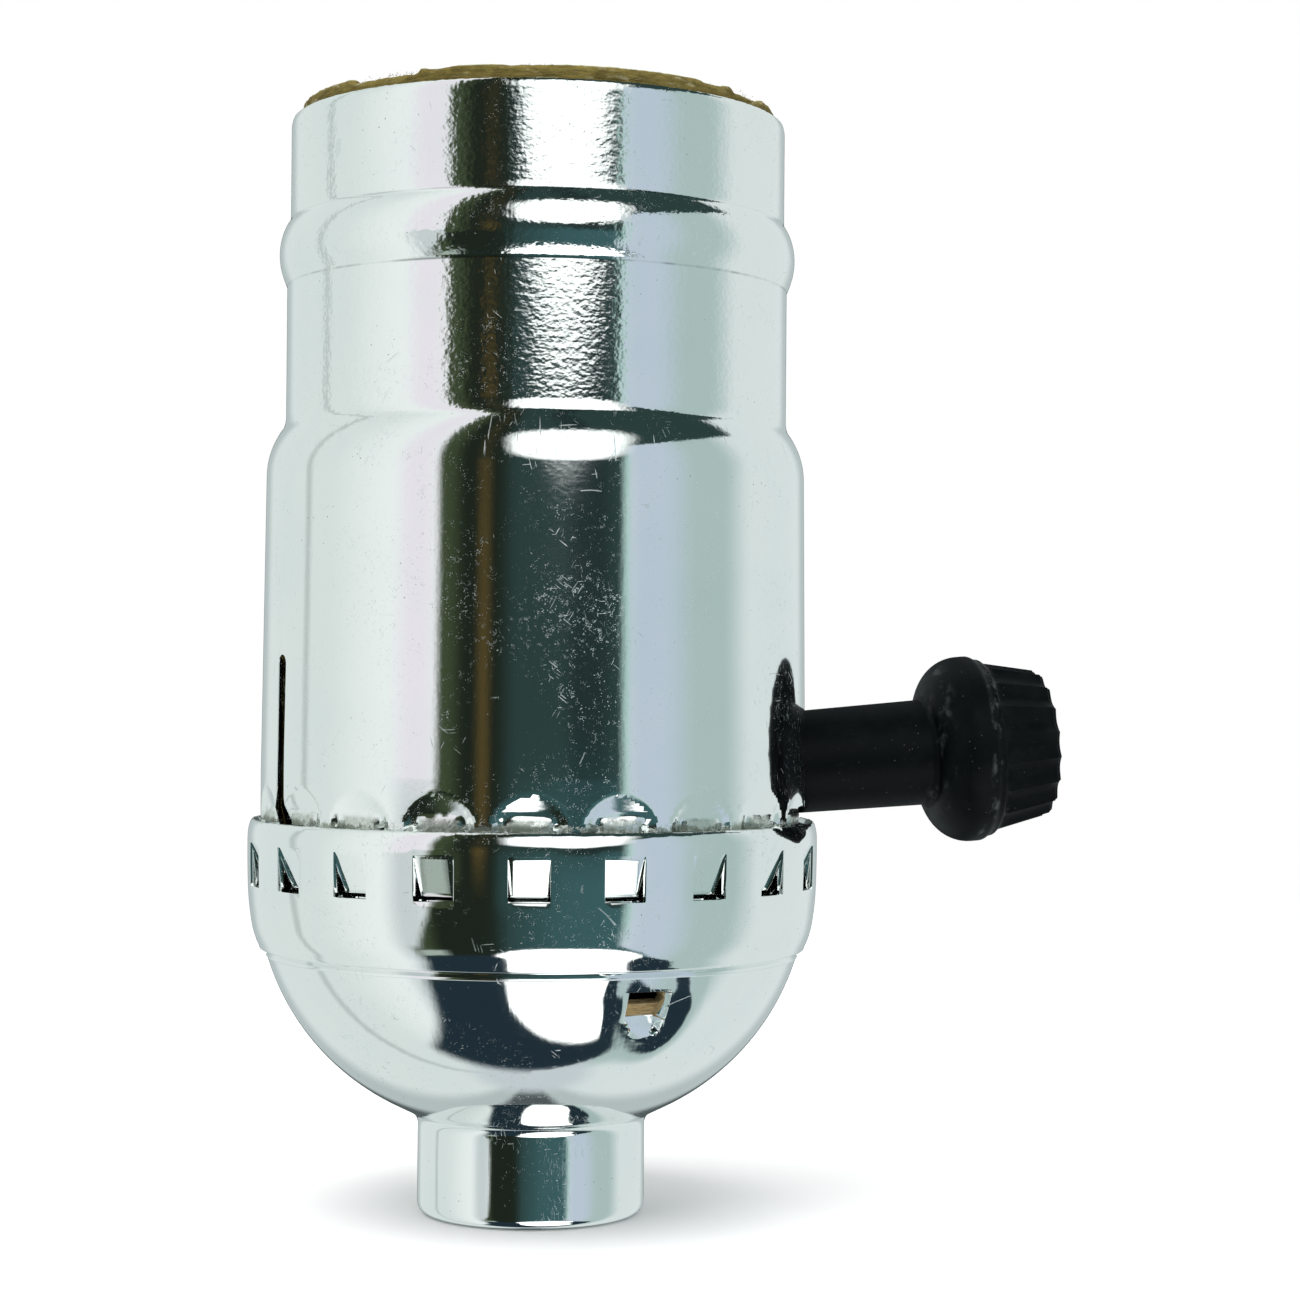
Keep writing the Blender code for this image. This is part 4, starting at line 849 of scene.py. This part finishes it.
def tang_pocket(angle, z):
    """Turns columns to the tang's edges, and presses its U-shaped pocket into the dome."""
    offset = remainder(angle - TANG_AZIMUTH, tau)
    weight = fair(RIDGE - 0.0001, DOME_TOP - 0.0003, z) if z > 0.009 else 0.0
    if abs(offset) >= PITCH_ANGLE or weight == 0.0:
        return angle, z, 0.0
    gap_half = PITCH_ANGLE / 2 - WINDOW_HALF_ANGLE
    if abs(offset) <= gap_half:
        squeezed = TANG_HALF * offset / gap_half
    else:
        beyond = (abs(offset) - gap_half) / (PITCH_ANGLE - gap_half)
        squeezed = copysign(TANG_HALF + (PITCH_ANGLE - TANG_HALF) * beyond, offset)
    offset += (squeezed - offset) * weight
    across, up = offset / TANG_HALF, min(z - TANG_ROUND, 0.0) / TANG_REACH
    away = hypot(across, up)
    if up < 0.0 and 0.93 < away < 1.07:      # the nearest points move onto the U's round end
        offset /= away
        z = TANG_ROUND + up / away * TANG_REACH
        away = 1.0
    over = max(z - TANG_HOLE_TOP, 0.0) / TANG_REACH
    dent = 0.00028 * exp(-max(hypot(away, over) - 1.0, 0.0) ** 2)
    if away < 1.0 and z < TANG_HOLE_TOP:
        deep = 0.00005 + 0.00118 * fair(TANG_ROUND - 0.0013, TANG_LIP + 0.0004, z)
        dent += deep * fair(1.0, 0.90, away) * fair(TANG_HOLE_TOP, TANG_HOLE_TOP - 0.0002, z)
    return TANG_AZIMUTH + offset, z, dent


def in_tang_hole(angle, z):
    across = abs(remainder(angle - TANG_AZIMUTH, tau)) / TANG_HALF
    return across < 0.84 and TANG_LIP < z < TANG_HOLE_TOP - 0.00016


def ring_of_tabs(nickel):
    """The lanced tabs: one bent strip, repeated round the cap at each window's upper edge."""
    graph, given = node_group("ring_of_tabs", Count="Int", Radius="Float", First="Float",
                              Top="Float", Drop="Float", Width="Float", Lean="Float")
    strip = graph.node("GeometryNodeMeshGrid", inputs={
        "Size X": given["Width"], "Size Y": given["Drop"], "Vertices X": 7, "Vertices Y": 11})
    x, y = graph.split(graph.node("GeometryNodeInputPosition"), 2)
    down = 0.5 - y / given["Drop"]
    crown = x * x * (-1.0 / (2 * CAP_RADIUS))
    place = graph.vector(given["Radius"] - given["Lean"] * down + crown,
                         x * (1.0 + down * 0.02), given["Top"] - down * given["Drop"])
    tab = graph.node("GeometryNodeSetPosition", inputs={"Geometry": strip, "Position": place})
    line = graph.node("GeometryNodeMeshLine", {"mode": "OFFSET"},
                      {"Count": given["Count"], "Offset": (0.0, 0.0, 0.0)})
    turn = given["First"] + graph.node("GeometryNodeInputIndex") * tau / given["Count"]
    tabs = graph.node("GeometryNodeInstanceOnPoints", inputs={
        "Points": line, "Instance": tab, "Rotation": graph.vector(z=turn)})
    tree = close_group(graph, tabs, given["Material"])
    return outward_faces(grown("tabs", tree, Count=WINDOWS, Radius=CAP_RADIUS,
                               First=WINDOW_AZIMUTH, Top=WINDOW_TOP + 0.00002, Drop=0.00264,
                               Width=0.00249, Lean=0.00076, Material=nickel))


# Liners, screw shell and bushing

# Bites out of the liner's edge, as (azimuth and half width in degrees, depth)
BITES = ((-136, 11, 0.00034), (-121, 4, 0.00012), (-52, 5, 0.00016), (-37, 9, 0.00030),
         (74, 12, 0.00024), (150, 10, 0.00026))


def torn_edge(angle):
    """How far the board's upper edge falls short, round the socket."""
    wave = noise.noise(Vector((cos(angle) * 2.6, sin(angle) * 2.6, 0)))
    drop = 0.00010 * fair(0.1, 0.5, wave)
    for middle, half, depth in BITES:
        gap = abs(degrees(remainder(angle - radians(middle), tau)))
        drop += depth * fair(half, half - 1.6, gap)
    return drop


def insulating_liner(board):
    """Board tube whose upper edge was torn more than cut."""
    top, low = LINER_TOP + 0.00030, SHELL_TOP - 0.0004
    outline = [(LINER_INNER, LINER_BOTTOM), (LINER_OUTER, LINER_BOTTOM), (LINER_OUTER, 0.050)]
    outline += [(LINER_OUTER, SHELL_TOP - 0.0003 + 0.00012 * k) for k in range(10)]
    outline += [(LINER_OUTER - 0.00010, top - 0.00008), (LINER_OUTER - 0.0003, top),
                (LINER_INNER + 0.0003, top), (LINER_INNER + 0.0001, top - 0.0001),
                (LINER_INNER, top - 0.0004), (LINER_INNER, top - 0.003)]
    bm = turned(outline, 420)
    for vert in bm.verts:
        if vert.co.z > low:
            angle = atan2(vert.co.y, vert.co.x)
            share = (vert.co.z - low) / (top - low)
            outward = Vector((cos(angle), sin(angle), 0))
            wave = noise.noise(outward * 14)
            nap = noise.noise(Vector(vert.co) * 3600)
            vert.co.z += share * (0.00004 * nap - 0.00006 * abs(wave) - torn_edge(angle))
            vert.co += outward * (0.00007 * nap + 0.00006 * wave) * share
    liner = piece("torn_liner", bm, board, 60)
    notch, foot, inside, outside = NOTCH_RADIUS + 0.0003, -0.012, 0.011, 0.018
    notch_outline = half_round(notch, 16) + [(-notch, foot), (notch, foot)]
    stem_z = AXIS_Z + KNOB_RISE * 0.85      # the stem's middle where it passes the liner
    subtract(liner, prism(notch_outline, inside, outside, Matrix.Translation((0, 0, stem_z))))
    liner.data.set_sharp_from_angle(angle=radians(60))
    return dress(liner, "housing", "liner_board", "insulating_liner")


def loose_fibres(board):
    """Short strands that stand up from the liner's torn edge."""
    graph, given = node_group("loose_fibres", Radius="Float", Top="Float", Count="Int",
                              Length="Float", Seed="Int")

    def chance(low, high, salt):
        return graph.node("FunctionNodeRandomValue", {"data_type": "FLOAT"},
                          {2: low, 3: high, "Seed": given["Seed"] + salt}, 1)

    strand = graph.node("GeometryNodeCurveQuadraticBezier", inputs={
        "Resolution": 4, "Start": (0.0, 0.0, 0.0), "Middle": (0.1, 0.0, 0.55),
        "End": (0.45, 0.0, 0.85)})
    circle = graph.node("GeometryNodeCurvePrimitiveCircle",
                        inputs={"Resolution": 4, "Radius": 0.06})
    tube = graph.node("GeometryNodeCurveToMesh", inputs={
        "Curve": strand, "Profile Curve": circle, "Fill Caps": True})
    line = graph.node("GeometryNodeMeshLine",
                      inputs={"Count": given["Count"], "Offset": (0.0, 0.0, 0.0)})
    turn = chance(0.0, tau, 1)
    reach = given["Radius"] + chance(-0.0004, 0.00036, 2)
    place = graph.vector(turn.math("COSINE") * reach, turn.math("SINE") * reach,
                         given["Top"] + chance(-0.0003, -0.0001, 3))
    points = graph.node("GeometryNodeSetPosition", inputs={"Geometry": line, "Position": place})
    spin = graph.vector(chance(-0.7, 0.7, 4), chance(-0.5, 0.9, 5), chance(0.0, tau, 6))
    size = given["Length"] * chance(0.35, 1.0, 7)
    strands = graph.node("GeometryNodeInstanceOnPoints", inputs={
        "Points": points, "Instance": tube, "Rotation": spin,
        "Scale": graph.vector(size, size, size * 0.8)})
    tree = close_group(graph, strands, given["Material"])
    fibres = grown("liner_fibres", tree, Radius=(LINER_INNER + LINER_OUTER) / 2,
                   Top=LINER_TOP + 0.0002, Count=700, Length=0.00026, Seed=11, Material=board)
    return dress(fibres, "housing", "liner_board")


def screw_shell(metal):
    """A sheet whose wall is rolled into the bulb thread, on a floor with a hole."""
    def profile(given, turns, y, up):
        wave = (0.5 - (turns * tau).math("COSINE") * 0.5) ** 0.8
        start = (up / given["Run Out"]).math("MINIMUM", 1.0)
        finish = ((given["Height"] - up) / given["Run Out"]).math("MINIMUM", 1.0)
        return wave * start * finish + (1.0 - finish)

    outer = THREAD_RADIUS - THREAD_DEPTH + THREAD_WALL
    inner, bottom = outer - THREAD_WALL, SCREW_SHELL_FLOOR + 0.0007
    shell = wrapped_sheet("rolled_screw_shell", "rolled_thread", 161, 190, profile, metal,
                          Radius=outer, Depth=THREAD_DEPTH, Pitch=THREAD_PITCH, Bottom=bottom,
                          Height=SCREW_SHELL_TOP - bottom, Run_Out=0.0018)
    thickened(shell, THREAD_WALL)

    # The floor, turned into the wall by a small radius
    low, high = SCREW_SHELL_FLOOR, SCREW_SHELL_FLOOR + THREAD_WALL
    outline = [(SCREW_SHELL_HOLE, low), (outer - 0.0006, low), (outer - 0.00018, low + 0.00018),
               (outer, low + 0.0008), (inner, low + 0.0008), (inner - 0.0001, high + 0.00022),
               (inner - 0.0005, high), (SCREW_SHELL_HOLE, high)]
    join(shell, piece("floor", turned(outline, 160), metal))
    shell.data.set_sharp_from_angle(angle=radians(35))
    return dress(shell, "housing", "brass_shell", "screw_shell")


def pipe_bushing(metal):
    """Bushing in the hub, with the lamp pipe's thread cut down its bore."""
    def profile(given, turns, y, up):
        tooth = abs(turns.math("FRACT") - 0.5) * 2.0
        return 1.0 - tooth * (0.5 - abs(y)).ramp(0.0, 0.08)

    def weld(bm):
        bmesh.ops.remove_doubles(bm, verts=bm.verts, dist=2e-6)
        bmesh.ops.recalc_face_normals(bm, faces=bm.faces)

    columns = 96
    bore = wrapped_sheet("bushing_bore", "cut_thread", columns + 1, 85, profile, metal,
                         Radius=PIPE_RADIUS, Depth=PIPE_THREAD_DEPTH, Pitch=PIPE_THREAD_PITCH,
                         Bottom=BUSHING_BOTTOM, Height=BUSHING_TOP - BUSHING_BOTTOM)
    for polygon in bore.data.polygons:
        polygon.flip()
    inner, edge = PIPE_RADIUS + PIPE_THREAD_DEPTH, 0.00025
    outline = [(inner, BUSHING_BOTTOM), (BUSHING_RADIUS - edge, BUSHING_BOTTOM),
               (BUSHING_RADIUS, BUSHING_BOTTOM + edge), (BUSHING_RADIUS, BUSHING_TOP - edge),
               (BUSHING_RADIUS - edge, BUSHING_TOP), (inner, BUSHING_TOP)]
    bm = sheet_grid(outline, [tau * k / columns for k in range(columns)],
                    lambda angle, row: (angle, *row))
    jacket = piece("pipe_bushing", bm, metal)
    join(jacket, bore)
    edited(jacket, weld)
    jacket.data.set_sharp_from_angle(angle=radians(30))
    return dress(jacket, "housing", "zinc_steel", "hub_bushing")


def cap_fibre(fibre):
    """Layered fibre dish inside the cap, seen through the tang's opening."""
    centre, centre_z, arc, last = dome_arc()
    outer, wall, top, count = arc - 0.00115, 0.0005, 0.0149, 80
    first = asin((centre_z - top) / outer)
    leans = [first + (last - first) * k / count for k in range(count + 1)]
    outside = [outer - abs(0.00003 * sin(k * 2.1) + 0.00002 * sin(k * 5.3))
               for k in range(count + 1)]
    inside = [outer - wall] * len(leans[::-8])
    outline = [(centre + radius * cos(lean), centre_z - radius * sin(lean))
               for radius, lean in zip(outside + inside, leans + leans[::-8])]
    dish = piece("fibre_dish", turned(outline, 200), fibre, 40)
    return dress(dish, "housing", "fibre", "cap_liner")


# Contacts and rivets

def folded_contact(metal):
    """Sprung centre contact: a strip folded back over itself, its tip crowned."""
    low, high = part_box("centre_contact")
    wall, half, bend, count, turns = 0.0004, (high[0] - low[0]) / 2 - 0.00002, 0.0011, 12, 14
    near, far = high[1], low[1]
    lower, upper = low[2] + wall / 2, high[2] - wall / 2
    middle, fold_radius = (low[2] + high[2]) / 2, (high[2] - low[2]) / 2 - wall / 2
    fold = far + fold_radius + wall / 2
    path = [Vector((near, lower)), Vector((fold, lower))]
    path += [Vector((fold - fold_radius * sin(pi * k / turns),
                     middle - fold_radius * cos(pi * k / turns))) for k in range(1, turns)]
    path += [Vector((fold, upper)), Vector((near - bend, upper)),
             Vector((near - 0.0003, upper - 0.00035))]
    path = dense(path, 0.00035)
    bm = bmesh.new()
    loops = []
    for i, point in enumerate(path):
        ahead = path[min(i + 1, len(path) - 1)] - path[max(i - 1, 0)]
        normal = Vector((-ahead.y, ahead.x)).normalized() * wall / 2
        share = i / (len(path) - 1)
        width = half * (1 - 0.35 * fair(0.86, 1.0, share))
        crown = 0.00022 * exp(-((share - 0.80) / 0.09) ** 2) if share > 0.5 else 0.0
        section = []
        for side in (1, -1):
            for k in range(count + 1):
                across = (2 * k / count - 1) * side
                section.append(bm.verts.new((across * width, point.x + side * normal.x,
                                             point.y + side * normal.y
                                             - crown * (1 - across ** 2))))
        loops.append(section)
    contact = piece("folded_contact", closed(bm, loops), metal)
    return dress(soft_edges(contact, 0.00006), "housing", "contact_brass", "centre_contact")


def rivets(metal):
    """Long rivets with domed heads at both ends."""
    shank, tall, steps = 0.0011, 0.0008, 8
    for letter in "ab":
        low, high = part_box(f"body_rivet_{letter}")
        middle = ((low[0] + high[0]) / 2, (low[1] + high[1]) / 2, 0.0)
        head, foot_top, head_foot = (high[0] - low[0]) / 2, low[2] + tall, high[2] - tall
        outline = [(0.0, low[2])] + quarter((0.0, low[2]), (head, foot_top), steps, True)
        outline += [(shank, foot_top + 0.00002), (shank, head_foot - 0.00002), (head, head_foot)]
        outline += quarter((head, head_foot), (0.0, high[2]), steps, False)
        bm = turned(outline, 48)
        bm.transform(Matrix.Translation(middle))
        dress(piece(f"domed_rivet_{letter}", bm, metal, 40),
              "housing", "brass_shell", f"body_rivet_{letter}")


# Knob

def knob_rows():
    """The knob along its axis, from the stem's end, as (radius, station, share of the flutes)."""
    stem, bell, grip, grip_end = 0.00347, 0.00612, 0.00572, 0.00480
    stem_start, stem_end, collar_start = 0.0147, 0.0261, 0.0287
    grip_start, knob_end = 0.0297, 0.0341
    back = [(0.0033, stem_start), (stem, stem_end - 0.0003)]
    back += quarter((stem, stem_end), (bell, collar_start), 16, True)
    front = [(bell, collar_start, 0), (bell, grip_start - 0.00035, 0.0002),
             (0.00594, grip_start - 0.0001, 0.00012), (0.00588, grip_start + 0.00005, 0.00008),
             (0.00584, grip_start + 0.00035, 0.00012), (grip, grip_start + 0.00042, 0)]
    plain = dense([Vector(p) for p in back], 0.0011) + dense(softened(front), 0.0003)[1:]
    rows = [(*p, 0.0) for p in plain]
    for share in (0.14, 0.2, 0.3, 0.45, 0.6, 0.75, 0.88, 0.94):
        rows.append((grip - (grip - grip_end) * share,
                     grip_start + (knob_end - grip_start) * share, fair(0.10, 0.19, share)))
    end = quarter((0.00476, knob_end - 0.00026), (0.00444, knob_end), 6, False)
    rows += [(*p, 1.0 - 0.2 * k / 6) for k, p in enumerate(end, 1)]
    return rows + [(0.0038, knob_end, 0.2), (0.0034, knob_end - 0.00002, 0.0),
                   (0.0030, knob_end - 0.00022, 0.0), (0.0014, knob_end - 0.00026, 0.0)]


def turn_knob(plastic):
    """Moulded knob: tapered stem, bell, double collar and a grip of scalloped flutes."""
    flutes, per_flute, flute_depth = 18, 14, 0.00040
    steps = flutes * per_flute

    def reach(k, row):
        radius, station, depth = row
        scallop = 1 - (2 * (k % per_flute) / per_flute - 1) ** 2
        return tau * k / steps, radius - flute_depth * depth * scallop, station

    bm = sheet_grid(knob_rows(), range(steps), reach)
    verts = list(bm.verts)
    bm.faces.new(verts[:steps][::-1])
    bm.faces.new(verts[-steps:])
    bm.transform(KNOB_FRAME)
    return dress(piece("fluted_knob", bm, plastic, 28), "turn_knob", "knob_plastic", "knob")


# Studio

def camera():
    """The photograph's camera: level, close, a little to the left of the front."""
    distance, height = 0.1832, 0.0342
    yaw, pitch, roll = radians(2.33) + CAMERA_HEADING, radians(0.64), radians(0.44)
    data = bpy.data.cameras.new("camera")
    data.lens, data.sensor_width, data.clip_start = 78.31, 36.0, 0.01
    eye = linked("camera", data)
    place = (-distance * sin(CAMERA_HEADING), -distance * cos(CAMERA_HEADING), height)
    eye.matrix_world = (Matrix.Translation(place) @ Matrix.Rotation(-yaw, 4, "Z")
                        @ Matrix.Rotation(pi / 2 + pitch, 4, "X") @ Matrix.Rotation(roll, 4, "Z"))
    bpy.context.scene.camera = eye


def light_tent():
    """Soft white tent all round, open at the front, where the polished metal sees the dark room.

    Azimuths are in degrees from the camera's side, positive to its right; side, ahead and height
    are the parts of a ray's direction."""
    world = bpy.data.worlds.new("tent")
    world.use_nodes = True
    bpy.context.scene.world = world
    graph = Graph(world.node_tree)
    direction = graph.node("ShaderNodeTexCoord", output=0)
    front = (-sin(CAMERA_HEADING), -cos(CAMERA_HEADING), 0.0)
    right = (cos(CAMERA_HEADING), -sin(CAMERA_HEADING), 0.0)
    ahead, side = (graph.vectors("DOT_PRODUCT", direction, axis) for axis in (front, right))
    azimuth = side.math("ARCTAN2", ahead) * degrees(1)
    height = graph.node("ShaderNodeSeparateXYZ", inputs={0: direction}, output=2)
    level = height.math("ARCSINE") * degrees(1)
    behind = abs(azimuth)

    side_cloth = graph.blend(height.ramp(-0.02, -0.05), (0.88, 0.84, 0.91), (0.62, 0.68, 0.69))
    cloth = graph.layers(
        (0.74, 0.81, 0.80),
        (azimuth.ramp(-100, -60), (0.90, 0.95, 0.94)),
        (azimuth.band(-58, -42, 6), side_cloth),
        (azimuth.ramp(20, 46), (0.53, 0.62, 0.72)),
        (azimuth.ramp(54, 72), (0.44, 0.56, 0.55)),
        (azimuth.ramp(84, 104), (0.74, 0.81, 0.81)),
        (azimuth.band(-112.5, -108.5, 1.8) * 0.42, (0.25, 0.30, 0.29)),
        (behind.ramp(146, 160) * 0.75, (0.40, 0.47, 0.47)),
        (behind.ramp(166, 172), (0.09, 0.11, 0.11)),
        (height.ramp(-0.94, -0.985), (0.60, 0.66, 0.70)),
        (level.ramp(62, 80), (0.80, 0.85, 0.85)))

    past_olive = (azimuth + height.ramp(-0.10, -0.15) * 9.0).ramp(-37, -28)
    brown_streak = (azimuth.band(-23.5, -18.5, 2.5) * height.ramp(0.02, 0.20, 1.0, 0.25)
                    * height.ramp(-0.15, -0.02))
    room = graph.layers(
        (0.050, 0.068, 0.034),
        (past_olive, (0.014, 0.020, 0.014)),
        (brown_streak, (0.082, 0.060, 0.022)),
        (azimuth.ramp(-17, -6), (0.026, 0.052, 0.049)),
        (azimuth.band(14, 30, 5), (0.017, 0.032, 0.032)),
        (side.ramp(-0.35, 0.35) * height.ramp(0.02, -0.12) * 0.9, (0.050, 0.125, 0.135)),
        (height.ramp(-0.56, -0.64), (0.016, 0.031, 0.043)))

    # The tent's opening: at its left and right by the ray's azimuth or by a slanting plane, as its
    # edges change with height, and by a plane at its top and foot
    foot = height.ramp(0.2, 0.6, 0.15, -0.25) * height.ramp(-0.60, -0.75, 1.0, 0.0)
    high_left = azimuth + height.ramp(-0.02, -0.06) * 1.5 + height.ramp(-0.15, -0.45) * 6.0
    high_left = high_left.ramp(-43.0, -38.0)
    low_left = (side + height * 0.55 + 0.955).ramp(-0.03, 0.03)
    low_right = (36.0 - azimuth + height.ramp(-0.40, -0.60) * 16.0
                 + height.ramp(-0.58, -0.72) * 28.0).ramp(-3.0, 2.0)
    high_right = (height.ramp(0.42, 0.60) * 0.27 + 0.585 - side).ramp(-0.04, 0.025)
    left_edge = high_left + (low_left - high_left) * height.ramp(-0.40, -0.52)
    right_edge = low_right + (high_right - low_right) * height.ramp(-0.03, 0.03)
    opening = (ahead - foot).ramp(-0.05, 0.05) * left_edge * right_edge
    rim = azimuth.band(34.0, 39.5, 2.0) * (1.0 - abs(height).ramp(0.2, 0.5))
    patch = azimuth.band(-50.0, -38.0, 3.0) * height.band(-0.595, -0.50, 0.015)

    # Two bright sheets in the opening: one above the camera, one below it
    facing = ahead.ramp(0.0, 0.1)
    upper = abs((side - 0.20) / 0.415) ** 2.0 + abs((height - 0.43) / 0.335) ** 4.0
    left_end = height.ramp(-0.60, -0.67, -18.0, -13.0)
    right_end = height.ramp(-0.60, -0.67, 52.0, 48.0) + height.ramp(-0.70, -0.90) * 22.0
    along = abs((azimuth * 2.0 - left_end - right_end) / (right_end - left_end))
    lower = along ** 2.8 + abs((height + 0.71) / 0.235) ** 2.8

    # Metal sees the tent; diffuse rays get a plain sky, and the camera plain white
    picture = graph.layers(
        cloth, (rim * 0.8, (0.42, 0.64, 0.58)), (opening, room), (patch, (0.38, 0.45, 0.41)),
        (upper.ramp(0.55, 1.15, 1.0, 0.0) * facing, (1.35, 1.40, 1.40)),
        (lower.ramp(0.80, 1.12, 1.0, 0.0) * facing, (1.9, 1.95, 1.95)),
        (graph.node("ShaderNodeLightPath", output=2), (0.96, 0.97, 0.97)),
        (graph.node("ShaderNodeLightPath", output=0), (1.0, 1.0, 1.0)))
    graph.feed(world.node_tree.nodes["Background"].inputs["Color"], picture)


def soft_lamp():
    """Broad lamp overhead, for the floor and the knob; the metal sees the tent in its place."""
    data = bpy.data.lights.new("soft_lamp", "AREA")
    data.shape, data.size, data.energy = "DISK", 0.9, 7.0
    lamp = linked("soft_lamp", data)
    lamp.location = (-0.12, -0.22, 0.75)
    lamp.rotation_euler = (radians(17), radians(-9), 0.0)
    lamp.visible_glossy = False
    lamp.visible_camera = False


def pale_floor():
    """Plain pale floor that runs out into the backdrop; metal sees the tent's own below it."""
    fade_start, fade_end = 80, 320          # millimetres from the middle
    bm = bmesh.new()
    bmesh.ops.create_circle(bm, cap_ends=True, segments=96, radius=1.2)
    bmesh.ops.translate(bm, verts=bm.verts, vec=(0, 0, -0.00002))
    finish = Finish("pale_floor", Roughness=0.9, Base_Color=(0.93, 0.93, 0.93, 1.0))
    away = finish.vectors("LENGTH", finish.place)
    clear = finish.node("ShaderNodeBsdfTransparent")
    shaded = Value(finish, finish.shader.outputs[0])
    mixed = finish.node("ShaderNodeMixShader",
                        inputs={0: away.ramp(fade_start, fade_end), 1: shaded, 2: clear})
    finish.feed(finish.tree.nodes["Material Output"].inputs["Surface"], mixed)
    floor = piece("floor", bm, finish.material)
    floor.visible_glossy = False


camera()
light_tent()
soft_lamp()
pale_floor()
bpy.context.scene.view_settings.view_transform = "Standard"

nickel = polished_nickel()
shell_brass = brass("shell_brass", (0.80, 0.58, 0.27), (0.60, 0.41, 0.18), 0.16)
contact_brass = brass("contact_brass", (0.84, 0.64, 0.32), (0.66, 0.46, 0.20), 0.20)
zinc = plated_steel("zinc_plate", (0.62, 0.63, 0.63), 0.24)
spring = plated_steel("spring_steel", (0.50, 0.50, 0.49), 0.28)
board = pressed_fibre("liner_board", (0.175, 0.139, 0.038), (0.076, 0.059, 0.014), 5.0, 70.86)
fibre = pressed_fibre("brown_fibre", (0.40, 0.30, 0.14), (0.15, 0.10, 0.045), 7.0)
phenolic = moulded_black("black_phenolic", 0.28, 0.3, 0.35, (0.020, 0.018, 0.016))
plastic = moulded_black("knob_plastic", 0.42, 0.07, 0.04, (0.0016, 0.0027, 0.0030), knob_sheen_and_wear)

outer_shell(nickel)
socket_cap(nickel)
insulating_liner(board)
loose_fibres(board)
screw_shell(shell_brass)
pipe_bushing(zinc)
cap_fibre(fibre)
folded_contact(contact_brass)
rivets(shell_brass)
turn_knob(plastic)

carried_over = {
    phenolic: ("switch_body", "contact_block", "switch_rotor"),
    contact_brass: ("line_terminal", "neutral_terminal", "line_contact", "load_contact",
                    "centre_rivet", "rotor_contact", "line_screw"),
    zinc: ("neutral_screw", "knob_shaft", "thrust_washer"),
    spring: ("detent_spring",),
}
for material, names in carried_over.items():
    for name in names:
        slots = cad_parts[name].data.materials
        slots.clear()
        slots.append(material)
